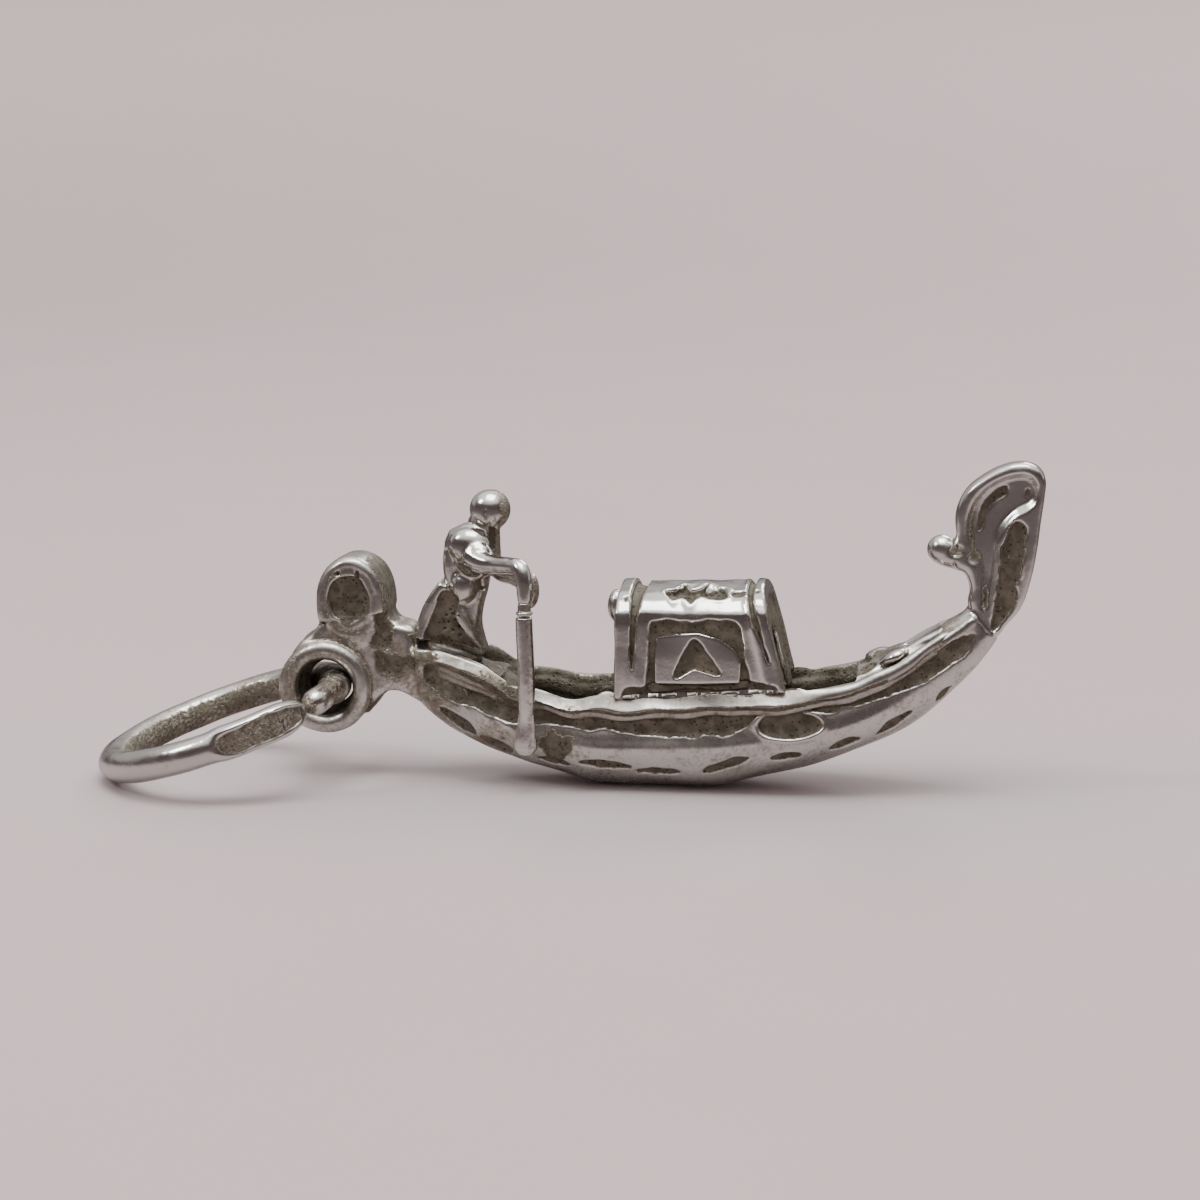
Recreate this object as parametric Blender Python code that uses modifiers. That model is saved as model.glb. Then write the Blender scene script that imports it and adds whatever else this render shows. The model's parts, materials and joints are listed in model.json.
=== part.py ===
"""A cast silver gondola charm with its jump ring, at real size.

+X is the bow, +Y is port and +Z is up. The origin is the middle of the keel's flat rest,
on the surface that the charm stands on. Named sizes are in millimetres; MM turns them
into metres. Every cast piece butts against its neighbours with the gap SEAM.
"""

import math

import bmesh
import bpy
from mathutils import Euler, Matrix, Vector

MM = 0.001
SEAM = 0.03  # gap between cast pieces that touch
PAST = 1.0  # how far a cutter runs past what it cuts
CLEAN = 1e-7  # metres; vertices this close are one

# Hull: each line gives (x, value) along the boat.
HULL_AFT = -7.30
KEEL = [(-7.6, 2.66), (-7.0, 2.04), (-6.4, 1.60), (-5.1, 1.00), (-3.8, 0.58), (-2.4, 0.22),
        (-1.7, 0.0), (1.9, 0.0), (3.4, 0.32), (5.4, 0.88), (7.2, 1.60), (8.5, 2.36),
        (9.7, 3.44), (10.3, 4.14), (11.0, 5.30)]
SHEER = [(-7.6, 4.36), (-7.0, 4.06), (-6.0, 3.78), (-4.5, 3.36), (-3.0, 3.10), (-1.3, 2.96),
         (1.0, 3.06), (3.2, 3.22), (4.9, 3.38), (6.3, 3.66), (7.4, 4.12), (8.5, 4.76),
         (9.6, 5.42), (10.4, 6.05), (11.0, 6.60)]
HALF_BEAM = [(-7.6, 0.86), (-6.6, 1.22), (-5.4, 1.62), (-4.0, 1.90), (-2.2, 2.05), (3.8, 2.06),
             (5.4, 1.96), (6.8, 1.76), (8.2, 1.40), (9.4, 1.02), (10.3, 0.74), (11.0, 0.62)]
HULL_STEP = 0.42  # spacing of the hull's sections

# Half of a hull section, from keel to deck: (share of the half-beam, share of the height).
SECTION = [(0.20, 0.0), (0.44, 0.04), (0.66, 0.14), (0.84, 0.31), (0.96, 0.52), (0.975, 0.60),
           (0.915, 0.67), (0.90, 0.80), (0.915, 1.0)]

# Gunwale rail.
RAIL_HEIGHT = 0.44
RAIL_WIDTH = 0.50
RAIL_ROUND = 0.12

# Cockpit well.
WELL_AFT = -4.75
WELL_FORE = 7.05
WELL_DEPTH = 0.95
WELL_WALL = 0.62  # from the rail's outer face to the well

# The slanting joint where hull, rails and foredeck meet the bow iron.
BOW_JOINT = Vector((9.78, 0.0, 5.93))
BOW_JOINT_NORMAL = Vector((0.72, 0.0, 0.70)).normalized()

# Decks.
DECK_CROWN_FORE = 0.26
DECK_CROWN_AFT = 0.22
FOREDECK_AFT = 7.98
COAMING_AFT = 6.45
COAMING_RISE = 0.42
STERN_DECK_FORE = -4.60

# Cabin.
CABIN_AFT = -0.26
CABIN_FORE_LOW = 3.76
CABIN_FORE_HIGH = 2.98
CABIN_TOP_AFT = 6.32
CABIN_TOP = 6.46
CABIN_BASE = 3.30
CABIN_HALF_WIDTH = 1.90
CABIN_WALL = 0.42
CABIN_SHOULDER = 5.35
HOOP_AFT = -0.90
HOOP_FORE_LOW = 4.44
HOOP_FORE_HIGH = 3.64
HOOP_PROUD = 0.08
HOOP_WALL = 0.46
HOOP_GROOVE = 0.06
PANEL_X = (0.36, 2.92)
PANEL_Z = (3.52, 5.12)
PANEL_PROUD = 0.10
KNOB_AT = Vector((-1.06, 0.0, 5.60))
KNOB_RADIUS = 0.42
STAR_AT = Vector((1.50, -0.62, 6.40))
STAR_RADIUS = 0.78
STAR_TALL = 0.30
STAR_TILT = math.radians(15)
STAR_POINTS = 5
STAR_WAIST = 0.55  # share of the radius between two points
WALL_SUNK = 0.3  # how far the end walls reach down between the rails
WALL_SET_BACK = 0.10
FORE_SET_BACK = 0.36
DOOR_HALF_WIDTH = 0.62
DOOR_TOP = 5.15

# Bow iron: its outline in the XZ plane, aft side first, going up and round.
FERRO = [(9.86, 6.03), (9.92, 6.35), (9.86, 6.72), (9.70, 7.00), (9.46, 7.06), (9.46, 8.10),
         (9.42, 8.60), (9.52, 9.10), (9.80, 9.58), (10.24, 9.94), (10.80, 10.26),
         (11.34, 10.40), (11.84, 10.30), (12.12, 9.92), (12.12, 9.45), (12.02, 8.60),
         (11.92, 7.70), (11.78, 6.80), (11.46, 5.85), (11.00, 5.30), (10.76, 5.02)]
FERRO_THICK = 1.10
FERRO_EDGE = 0.22
SPUR_AT = Vector((9.03, 0.0, 7.56))
SPUR_RADIUS = 0.50
SPUR_LENGTH = 1.00

# Stern: the eye that carries the ring, the scroll above it and the post behind the hull.
EYE_AT = Vector((-10.29, 0.0, 2.88))
EYE_RADIUS = 1.38
EYE_HOLE = 0.96
EYE_HALF_THICK = 1.00
EYE_HOLE_HALF = 0.50
EYE_FLARE = 1.20
STERN_JOINT = Vector((-9.40, 0.0, 5.12))
STERN_JOINT_NORMAL = Vector((-0.16, 0.0, 0.99)).normalized()
SCROLL = [(-10.30, 4.40), (-10.50, 5.00), (-10.54, 5.65), (-10.42, 6.32), (-10.02, 6.86),
          (-9.42, 7.08), (-8.84, 6.88), (-8.44, 6.38), (-8.28, 5.80), (-8.28, 5.20),
          (-8.50, 4.60)]
SCROLL_THICK = 2.00
SCROLL_EDGE = 0.26
SCROLL_DISH = Vector((-9.46, 0.0, 5.82))
SCROLL_DISH_RADIUS = 0.66
SCROLL_DISH_DEPTH = 0.18
POST = [(-10.50, 4.92), (-10.72, 4.60), (-11.14, 4.30), (-11.42, 3.90), (-10.29, 2.88),
        (-8.95, 2.02), (-8.76, 2.26), (-8.54, 2.58), (-8.26, 2.78), (-7.98, 2.78),
        (-7.66, 2.64), (-7.36, 2.44), (-7.36, 4.74), (-7.70, 4.91), (-8.00, 4.94),
        (-8.20, 5.08), (-8.28, 5.27)]
POST_THICK = 1.64
POST_EDGE = 0.18

# Gondolier: elliptical slices (x, y, z, half size along x, half size along y).
TORSO = [(-5.92, 0.0, 6.10, 0.70, 0.46), (-5.95, 0.0, 6.50, 0.62, 0.46),
         (-5.78, 0.0, 7.00, 0.78, 0.54), (-5.72, 0.0, 7.50, 0.83, 0.64),
         (-5.66, 0.0, 7.88, 0.74, 0.60), (-5.50, 0.0, 8.12, 0.44, 0.34)]
HEAD_AT = Vector((-5.08, 0.0, 8.60))
HEAD_RADIUS = 0.62
NECK_Z = 8.15
WAIST_Z = 6.10
LEGS = [(-6.50, 6.60), (-6.84, 6.05), (-7.06, 5.66), (-7.28, 5.20), (-7.28, 4.50),
        (-6.60, 4.32), (-5.90, 4.14), (-5.24, 3.98), (-5.30, 4.40), (-5.40, 4.90),
        (-5.34, 5.50), (-5.20, 6.00), (-5.10, 6.60)]
LEGS_THICK = 1.05
LEGS_EDGE = 0.2
ARM_STARBOARD = [(-5.36, -0.96, 7.20), (-4.84, -1.26, 6.84), (-4.20, -1.70, 6.70),
                 (-3.76, -2.08, 6.40), (-3.64, -2.28, 5.95)]
ARM_PORT = [(-4.66, 0.04, 6.98), (-4.30, -0.34, 6.80), (-3.92, -0.80, 6.56),
            (-3.60, -1.28, 6.20), (-3.48, -1.66, 5.84)]
ARM_RADIUS = (0.36, 0.34, 0.33, 0.30, 0.28)

# Oar, held upright against the starboard side.
OAR_AT = Vector((-3.60, -2.36, 0.0))
OAR_TOP = 5.62
OAR_LOW = 2.56
OAR_RADIUS = 0.27
COLLAR_TALL = 0.16
COLLAR_RADIUS = 0.33
BLADE = [(-3.84, 2.50), (-3.36, 2.50), (-3.26, 2.05), (-3.20, 1.62), (-3.26, 1.28),
         (-3.56, 1.14), (-3.88, 1.24), (-3.99, 1.62), (-3.94, 2.05)]
BLADE_THICK = 0.42
BLADE_EDGE = 0.12
BLADE_Y = -2.26

# Jump ring: it lies with its far end on the surface that the charm stands on.
RING_RADIUS = 3.70
RING_WIRE = 0.55
RING_OFFSET = -0.13  # the wire's middle, from the eye's middle, away from the boat
RING_DROP = math.radians(18.75)
RING_YAW = math.radians(20)
RING_ROLL = math.radians(2.4)
RING_PAD_ANGLE = math.radians(110)
RING_PAD_DISTANCE = 4.05


def metres(x, y, z):
    """A point given in millimetres."""
    return Vector((x, y, z)) * MM


def along(x, line):
    """The value at x on a smooth line through (x, value) points, with no overshoot."""
    x = min(max(x, line[0][0]), line[-1][0])
    i = max(k for k in range(len(line) - 1) if x >= line[k][0])
    (x0, v0), (x1, v1) = line[i], line[i + 1]
    span = x1 - x0
    t = (x - x0) / span
    start, end = slope_at(line, i) * span, slope_at(line, i + 1) * span
    return ((2 * t ** 3 - 3 * t ** 2 + 1) * v0 + (t ** 3 - 2 * t ** 2 + t) * start
            + (3 * t ** 2 - 2 * t ** 3) * v1 + (t ** 3 - t ** 2) * end)


def slope_at(line, i):
    """The line's slope at its point i, which is level at a peak or a flat."""
    if i in (0, len(line) - 1):
        (xa, va), (xb, vb) = line[:2] if i == 0 else line[-2:]
        return (vb - va) / (xb - xa)
    (xa, va), (xb, vb), (xc, vc) = line[i - 1:i + 2]
    before, after = (vb - va) / (xb - xa), (vc - vb) / (xc - xb)
    return 0.0 if before * after <= 0 else 2 * before * after / (before + after)


def clear_scene():
    for obj in list(bpy.data.objects):
        bpy.data.objects.remove(obj)


def collection(name):
    made = bpy.data.collections.new(name)
    bpy.context.scene.collection.children.link(made)
    return made


def metal(name, color, roughness):
    """A silver finish with its own depth of tarnish."""
    made = bpy.data.materials.new(name)
    made.use_nodes = True
    shader = made.node_tree.nodes["Principled BSDF"]
    shader.inputs["Base Color"].default_value = (*color, 1.0)
    shader.inputs["Metallic"].default_value = 1.0
    shader.inputs["Roughness"].default_value = roughness
    return made


POLISHED = ((0.78, 0.76, 0.74), 0.16)
WORN = ((0.62, 0.59, 0.56), 0.28)
OXIDISED = ((0.24, 0.21, 0.18), 0.55)


class Charm:
    """The scene's collections, and the ways that its pieces are made."""

    def __init__(self):
        self.pieces = collection("gondola_charm")
        self.cutters = collection("cutters")

    def add(self, name, mesh, finish, smooth=40):
        """A new piece from a mesh in metres, with its own material."""
        mesh.name = name
        for face in mesh.polygons:
            face.use_smooth = True
        mesh.set_sharp_from_angle(angle=math.radians(smooth))
        obj = bpy.data.objects.new(name, mesh)
        mesh.materials.clear()
        mesh.materials.append(metal(name + "_silver", *finish))
        self.pieces.objects.link(obj)
        return obj

    def add_cutter(self, name, mesh):
        obj = bpy.data.objects.new(name, mesh)
        obj.hide_render = True
        obj.display_type = "WIRE"
        self.cutters.objects.link(obj)
        return obj


def mesh_from(bm):
    """A mesh with its normals pointing out, from a bmesh that this frees."""
    bmesh.ops.remove_doubles(bm, verts=bm.verts, dist=CLEAN)
    bmesh.ops.recalc_face_normals(bm, faces=bm.faces)
    mesh = bpy.data.meshes.new("piece")
    bm.to_mesh(mesh)
    bm.free()
    return mesh


def loft(loops):
    """A closed solid through loops of equal count, each a list of points in metres."""
    bm = bmesh.new()
    rings = [[bm.verts.new(point) for point in loop] for loop in loops]
    count = len(rings[0])
    for first, second in zip(rings, rings[1:]):
        for i in range(count):
            j = (i + 1) % count
            bm.faces.new((first[i], first[j], second[j], second[i]))
    bm.faces.new(rings[0])
    bm.faces.new(reversed(rings[-1]))
    bmesh.ops.triangulate(bm, faces=bm.faces)
    return mesh_from(bm)


def plate(points, thick, edge, smooth=True, y=0.0):
    """A flat outline in the XZ plane, thick across the boat, with rounded edges."""
    curve = bpy.data.curves.new("outline", "CURVE")
    curve.dimensions = "2D"
    curve.fill_mode = "BOTH"
    curve.extrude = (thick / 2 - edge) * MM
    curve.bevel_depth = edge * MM
    curve.bevel_resolution = 1
    curve.offset = -edge * MM
    curve.resolution_u = 3
    spline = curve.splines.new("BEZIER" if smooth else "POLY")
    if smooth:
        spline.bezier_points.add(len(points) - 1)
        for node, (x, z) in zip(spline.bezier_points, points):
            node.co = (x * MM, z * MM, 0)
            node.handle_left_type = node.handle_right_type = "AUTO"
    else:
        spline.points.add(len(points) - 1)
        for node, (x, z) in zip(spline.points, points):
            node.co = (x * MM, z * MM, 0, 1)
    spline.use_cyclic_u = True
    turn = Matrix.Translation(metres(0, y, 0)) @ Euler((math.pi / 2, 0, 0)).to_matrix().to_4x4()
    return mesh_of_curve(curve, turn)


def tube(points, radii, resolution=3):
    """A round bar along a smooth line, with its own radius at each point."""
    curve = bpy.data.curves.new("bar", "CURVE")
    curve.dimensions = "3D"
    curve.bevel_depth = MM
    curve.bevel_resolution = resolution
    curve.use_fill_caps = True
    curve.resolution_u = 4
    spline = curve.splines.new("BEZIER")
    spline.bezier_points.add(len(points) - 1)
    for node, point, radius in zip(spline.bezier_points, points, radii):
        node.co = metres(*point)
        node.radius = radius
        node.handle_left_type = node.handle_right_type = "AUTO"
    return mesh_of_curve(curve, Matrix.Identity(4))


def mesh_of_curve(curve, matrix):
    """The curve's solid as a welded mesh in place."""
    obj = bpy.data.objects.new("guide", curve)
    bpy.context.scene.collection.objects.link(obj)
    bpy.context.view_layer.update()
    evaluated = obj.evaluated_get(bpy.context.evaluated_depsgraph_get())
    mesh = bpy.data.meshes.new_from_object(evaluated)
    bpy.data.objects.remove(obj)
    bm = bmesh.new()
    bm.from_mesh(mesh)
    bmesh.ops.transform(bm, matrix=matrix, verts=bm.verts)
    bpy.data.meshes.remove(mesh)
    return mesh_from(bm)


def ball(centre, radius, stretch=(1, 1, 1)):
    bm = bmesh.new()
    scale = Matrix.Diagonal((*stretch, 1))
    bmesh.ops.create_uvsphere(bm, u_segments=20, v_segments=12, radius=radius * MM,
                              matrix=Matrix.Translation(centre * MM) @ scale)
    return mesh_from(bm)


def cylinder(centre, radius, length, axis, segments=32, radius_end=None):
    """A cylinder or cone with its middle at centre, along axis."""
    bm = bmesh.new()
    turn = axis.to_track_quat("Z", "Y").to_matrix().to_4x4()
    bmesh.ops.create_cone(bm, cap_ends=True, segments=segments, radius1=radius * MM,
                          radius2=(radius if radius_end is None else radius_end) * MM,
                          depth=length * MM, matrix=Matrix.Translation(centre * MM) @ turn)
    return mesh_from(bm)


def block(low, high):
    bm = bmesh.new()
    middle = (Vector(low) + Vector(high)) / 2 * MM
    size = (Vector(high) - Vector(low)) * MM
    bmesh.ops.create_cube(bm, matrix=Matrix.Translation(middle) @ Matrix.Diagonal((*size, 1)))
    return mesh_from(bm)


def keep_behind(mesh, point, normal):
    """Cuts the mesh with a plane, keeps what lies behind its normal and closes it."""
    bm = bmesh.new()
    bm.from_mesh(mesh)
    bmesh.ops.bisect_plane(bm, geom=bm.verts[:] + bm.edges[:] + bm.faces[:], dist=CLEAN,
                           plane_co=point * MM, plane_no=normal, clear_outer=True)
    open_edges = [edge for edge in bm.edges if edge.is_boundary]
    bmesh.ops.holes_fill(bm, edges=open_edges, sides=0)
    bpy.data.meshes.remove(mesh)
    return mesh_from(bm)


def boolean(obj, cutter, operation="DIFFERENCE"):
    change = obj.modifiers.new(cutter.name, "BOOLEAN")
    change.operation = operation
    change.object = cutter
    change.solver = "EXACT"


def stations(start, end, step):
    """Evenly spaced places from start to end."""
    count = max(2, round((end - start) / step))
    return [start + (end - start) * i / count for i in range(count + 1)]


def mirrored(half):
    """A closed loop from a starboard half (negative y) and its port mirror."""
    return [Vector((p.x, -p.y, p.z)) for p in half] + list(reversed(half))


def hull_section(x):
    keel = along(x, KEEL)
    deck = along(x, SHEER) - RAIL_HEIGHT - SEAM
    beam = along(x, HALF_BEAM)
    half = [metres(x, -beam * side, keel + (deck - keel) * up) for side, up in SECTION]
    return mirrored(half)


def build_hull(charm):
    bow_end = 11.0
    mesh = loft([hull_section(x) for x in stations(HULL_AFT, bow_end, HULL_STEP)])
    mesh = keep_behind(mesh, BOW_JOINT, BOW_JOINT_NORMAL)
    hull = charm.add("hull", mesh, WORN)
    boolean(hull, charm.add_cutter("cockpit_well", well_mesh()))
    return hull


def well_mesh():
    """The open cockpit: a rounded trough that follows the rails."""
    loops = []
    ends = 0.55
    for x in stations(WELL_AFT, WELL_FORE, HULL_STEP):
        near_end = min((x - WELL_AFT) / ends, (WELL_FORE - x) / ends, 1.0)
        pinch = 0.55 + 0.45 * math.sqrt(max(near_end, 0.0))
        side = (along(x, HALF_BEAM) - WELL_WALL) * pinch
        top = along(x, SHEER) + 0.2
        floor = along(x, SHEER) - RAIL_HEIGHT - WELL_DEPTH
        half = [metres(x, -side * 0.7, floor), metres(x, -side, floor + 0.3),
                metres(x, -side, top)]
        loops.append(mirrored(half))
    return loft(loops)


def rail_section(x, side):
    """A rail's rounded section on one side; side is -1 to starboard and 1 to port."""
    outer = along(x, HALF_BEAM)
    inner = outer - min(RAIL_WIDTH, outer * 0.45)
    top = along(x, SHEER)
    low = top - RAIL_HEIGHT
    r = RAIL_ROUND
    outline = [(outer - r, low), (outer, low + r), (outer, top - r), (outer - r, top),
               (inner + r, top), (inner, top - r), (inner, low)]
    return [metres(x, side * y, z) for y, z in outline]


def build_rails(charm):
    for name, side in (("gunwale_starboard", -1), ("gunwale_port", 1)):
        mesh = loft([rail_section(x, side) for x in stations(HULL_AFT, 11.0, HULL_STEP)])
        mesh = keep_behind(mesh, BOW_JOINT, BOW_JOINT_NORMAL)
        charm.add(name, mesh, POLISHED)


def deck_section(x, crown):
    """A crowned deck between the rails."""
    outer = along(x, HALF_BEAM)
    side = outer - min(RAIL_WIDTH, outer * 0.45) - SEAM
    low = along(x, SHEER) - RAIL_HEIGHT
    edge = along(x, SHEER) - 0.10
    half = [metres(x, -side, low), metres(x, -side, edge)]
    half += [metres(x, -side * math.cos(a), edge + crown * math.sin(a))
             for a in (math.radians(25), math.radians(55))]
    return mirrored(half)


def build_decks(charm):
    mesh = loft([deck_section(x, DECK_CROWN_FORE) for x in stations(FOREDECK_AFT, 11.0, HULL_STEP)])
    charm.add("foredeck", keep_behind(mesh, BOW_JOINT, BOW_JOINT_NORMAL), POLISHED)
    places = stations(HULL_AFT, STERN_DECK_FORE, HULL_STEP)
    charm.add("stern_deck", loft([deck_section(x, DECK_CROWN_AFT) for x in places]), WORN)
    places = stations(COAMING_AFT, FOREDECK_AFT - SEAM, 0.25)
    middle = (COAMING_AFT + FOREDECK_AFT) / 2
    rises = [COAMING_RISE * (0.72 + 0.28 * math.cos((x - middle) * 1.6)) for x in places]
    coaming = charm.add("foredeck_coaming",
                        loft([deck_section(x, rise) for x, rise in zip(places, rises)]), POLISHED)
    hood = loft([deck_hollow(x) for x in stations(COAMING_AFT - 0.3, COAMING_AFT + 0.75, 0.35)])
    boolean(coaming, charm.add_cutter("coaming_mouth", hood))


def deck_hollow(x):
    """The mouth under the coaming."""
    side = (along(x, HALF_BEAM) - RAIL_WIDTH) * 0.72
    low = along(x, SHEER) - RAIL_HEIGHT - 0.1
    top = along(x, SHEER) + 0.10
    half = [metres(x, -side, low), metres(x, -side, top - 0.2), metres(x, -side * 0.6, top)]
    return mirrored(half)


def vault_loop(x_at, foot, half_width, top, shoulder=CABIN_SHOULDER):
    """An arched section's closed loop; x_at gives x at a height, so that an end can slant."""
    half = [metres(x_at(foot), -half_width, foot)]
    for turn in (0, 20, 40, 60, 80):
        angle = math.radians(turn)
        y = half_width * math.cos(angle) ** 0.8
        z = shoulder + (top - shoulder) * math.sin(angle) ** 0.9
        half.append(metres(x_at(z), -y, z))
    return mirrored(half)


def roof_top(x):
    """The canopy's crown, which rises towards the bow."""
    share = min(max((x - HOOP_AFT) / (CABIN_FORE_HIGH - HOOP_AFT), 0.0), 1.0)
    return CABIN_TOP_AFT + (CABIN_TOP - CABIN_TOP_AFT) * math.sin(share * math.pi / 2)


def cabin_foot(x):
    return along(x, SHEER) + SEAM


def fore_slant(low, high):
    """x against height on the cabin's slanting fore end."""
    def x_at(z):
        return low + (high - low) * (z - CABIN_BASE) / (CABIN_TOP - CABIN_BASE)
    return x_at


def build_tunnel(charm, name, aft_at, fore_at, proud, wall, finish):
    """A hollow vault from one end to the other, standing on the rails."""
    width = CABIN_HALF_WIDTH + proud
    aft_foot = cabin_foot(aft_at(CABIN_BASE))
    fore_foot = cabin_foot(fore_at(CABIN_BASE))
    aft_top = roof_top(aft_at(CABIN_TOP)) + proud
    fore_top = roof_top(fore_at(CABIN_TOP)) + proud
    mesh = loft([vault_loop(aft_at, aft_foot, width, aft_top),
                 vault_loop(fore_at, fore_foot, width, fore_top)])
    tunnel = charm.add(name, mesh, finish)
    inner = loft([vault_loop(lambda z: aft_at(z) - PAST, aft_foot - PAST, width - wall,
                             aft_top - wall),
                  vault_loop(lambda z: fore_at(z) + PAST, fore_foot - PAST, width - wall,
                             fore_top - wall)])
    boolean(tunnel, charm.add_cutter(name + "_inside", inner))
    return tunnel


def build_cabin(charm):
    fore_end = fore_slant(CABIN_FORE_LOW, CABIN_FORE_HIGH)
    hoop_back = fore_slant(CABIN_FORE_LOW + HOOP_GROOVE, CABIN_FORE_HIGH + HOOP_GROOVE)
    hoop_front = fore_slant(HOOP_FORE_LOW, HOOP_FORE_HIGH)
    canopy = build_tunnel(charm, "cabin_canopy", lambda z: CABIN_AFT, fore_end, 0.0, CABIN_WALL,
                          POLISHED)
    boolean(canopy, star_cutter(charm))
    build_tunnel(charm, "cabin_hoop_aft", lambda z: HOOP_AFT,
                 lambda z: CABIN_AFT - HOOP_GROOVE, HOOP_PROUD, HOOP_WALL, POLISHED)
    build_tunnel(charm, "cabin_hoop_fore", hoop_back, hoop_front, HOOP_PROUD, HOOP_WALL, POLISHED)
    for name, side in (("cabin_panel_starboard", -1), ("cabin_panel_port", 1)):
        build_panel(charm, name, side)
    build_walls(charm)
    knob = ball(KNOB_AT, KNOB_RADIUS, (0.7, 1.0, 1.25))
    knob = keep_behind(knob, Vector((HOOP_AFT - SEAM, 0, 0)), Vector((1, 0, 0)))
    charm.add("cabin_knob", knob, POLISHED)


def build_panel(charm, name, side):
    """A raised side panel with a triangular recess."""
    inner = side * (CABIN_HALF_WIDTH + SEAM)
    outer = side * (CABIN_HALF_WIDTH + PANEL_PROUD)
    low_y, high_y = min(inner, outer), max(inner, outer)
    panel = charm.add(name, block((PANEL_X[0], low_y, PANEL_Z[0]),
                                  (PANEL_X[1], high_y, PANEL_Z[1])), POLISHED)
    triangle = [(1.02, 3.88), (2.30, 4.02), (1.62, 4.86)]
    cutter = plate(triangle, 0.5, 0.0, smooth=False, y=side * (CABIN_HALF_WIDTH + 0.25))
    boolean(panel, charm.add_cutter(name + "_triangle", cutter))


def build_walls(charm):
    """The cabin's end walls, inside the hoops; the fore one has a doorway."""
    width = CABIN_HALF_WIDTH + HOOP_PROUD - HOOP_WALL - SEAM
    drop = HOOP_WALL + SEAM - HOOP_PROUD
    aft_foot = cabin_foot(HOOP_AFT) - WALL_SUNK
    aft_top = roof_top(HOOP_AFT) - drop
    aft = loft([vault_loop(lambda z: HOOP_AFT + WALL_SET_BACK, aft_foot, width, aft_top),
                vault_loop(lambda z: CABIN_AFT - HOOP_GROOVE, aft_foot, width, aft_top)])
    charm.add("cabin_aft_wall", aft, OXIDISED)
    back = fore_slant(CABIN_FORE_LOW + HOOP_GROOVE, CABIN_FORE_HIGH + HOOP_GROOVE)
    front = fore_slant(HOOP_FORE_LOW - FORE_SET_BACK, HOOP_FORE_HIGH - FORE_SET_BACK)
    fore_foot = cabin_foot(front(CABIN_BASE)) - WALL_SUNK
    fore_top = CABIN_TOP - drop
    fore = loft([vault_loop(back, fore_foot, width, fore_top),
                 vault_loop(front, fore_foot, width, fore_top)])
    fore = charm.add("cabin_fore_wall", fore, OXIDISED)
    door = [vault_loop(lambda z, x=x: x, CABIN_BASE - PAST, DOOR_HALF_WIDTH, DOOR_TOP,
                       DOOR_TOP - DOOR_HALF_WIDTH)
            for x in (CABIN_FORE_HIGH - PAST, HOOP_FORE_LOW + PAST)]
    boolean(fore, charm.add_cutter("doorway", loft(door)))


def star_cutter(charm):
    """A star that is sunk into the roof's starboard slope."""
    points = []
    for i in range(2 * STAR_POINTS):
        angle = math.pi * i / STAR_POINTS
        reach = STAR_RADIUS * (1.0 if i % 2 == 0 else STAR_WAIST)
        points.append((reach * math.cos(angle), reach * math.sin(angle)))
    mesh = plate(points, STAR_TALL, 0.0, smooth=False)
    lay = Euler((math.pi / 2 + STAR_TILT, 0, 0)).to_matrix().to_4x4()
    mesh.transform(Matrix.Translation(STAR_AT * MM) @ lay)
    return charm.add_cutter("roof_star", mesh)


def build_bow(charm):
    ferro = plate(FERRO, FERRO_THICK, FERRO_EDGE)
    ferro = keep_behind(ferro, BOW_JOINT + BOW_JOINT_NORMAL * SEAM, -BOW_JOINT_NORMAL)
    charm.add("ferro_blade", ferro, POLISHED)
    spur = cylinder(SPUR_AT, SPUR_RADIUS, SPUR_LENGTH, Vector((0, 1, 0)), 20)
    charm.add("ferro_spur", keep_behind(spur, Vector((9.36, 0, 0)), Vector((1, 0, 0))), POLISHED)


def build_stern(charm):
    eye = bpy.data.meshes.new("eye_profile")
    profile = [(EYE_RADIUS - 0.16, EYE_HALF_THICK), (EYE_RADIUS, EYE_HALF_THICK - 0.16),
               (EYE_RADIUS, -EYE_HALF_THICK + 0.16), (EYE_RADIUS - 0.16, -EYE_HALF_THICK),
               (EYE_FLARE, -EYE_HALF_THICK), (EYE_HOLE, -EYE_HOLE_HALF),
               (EYE_HOLE, EYE_HOLE_HALF), (EYE_FLARE, EYE_HALF_THICK)]
    eye.from_pydata([(r * MM, 0, z * MM) for r, z in profile],
                    [(i, (i + 1) % len(profile)) for i in range(len(profile))], [])
    obj = charm.add("stern_eye", eye, WORN, smooth=30)
    obj.location = EYE_AT * MM
    obj.rotation_euler = (math.pi / 2, 0, 0)
    turned = obj.modifiers.new("turned", "SCREW")
    turned.steps = turned.render_steps = 40
    turned.use_merge_vertices = True
    turned.merge_threshold = 1e-6

    scroll = plate(SCROLL, SCROLL_THICK, SCROLL_EDGE)
    scroll = keep_behind(scroll, STERN_JOINT + STERN_JOINT_NORMAL * SEAM, -STERN_JOINT_NORMAL)
    scroll = charm.add("stern_scroll", scroll, WORN)
    for name, side in (("scroll_dish_starboard", -1), ("scroll_dish_port", 1)):
        centre = SCROLL_DISH + Vector((0, side * SCROLL_THICK / 2, 0))
        dish = cylinder(centre, SCROLL_DISH_RADIUS, 2 * SCROLL_DISH_DEPTH, Vector((0, 1, 0)), 24)
        boolean(scroll, charm.add_cutter(name, dish))

    post = charm.add("stern_post", plate(POST, POST_THICK, POST_EDGE, smooth=False), WORN)
    eye_room = cylinder(EYE_AT, EYE_RADIUS + SEAM, 4, Vector((0, 1, 0)), 40)
    boolean(post, charm.add_cutter("eye_room", eye_room))


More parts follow.
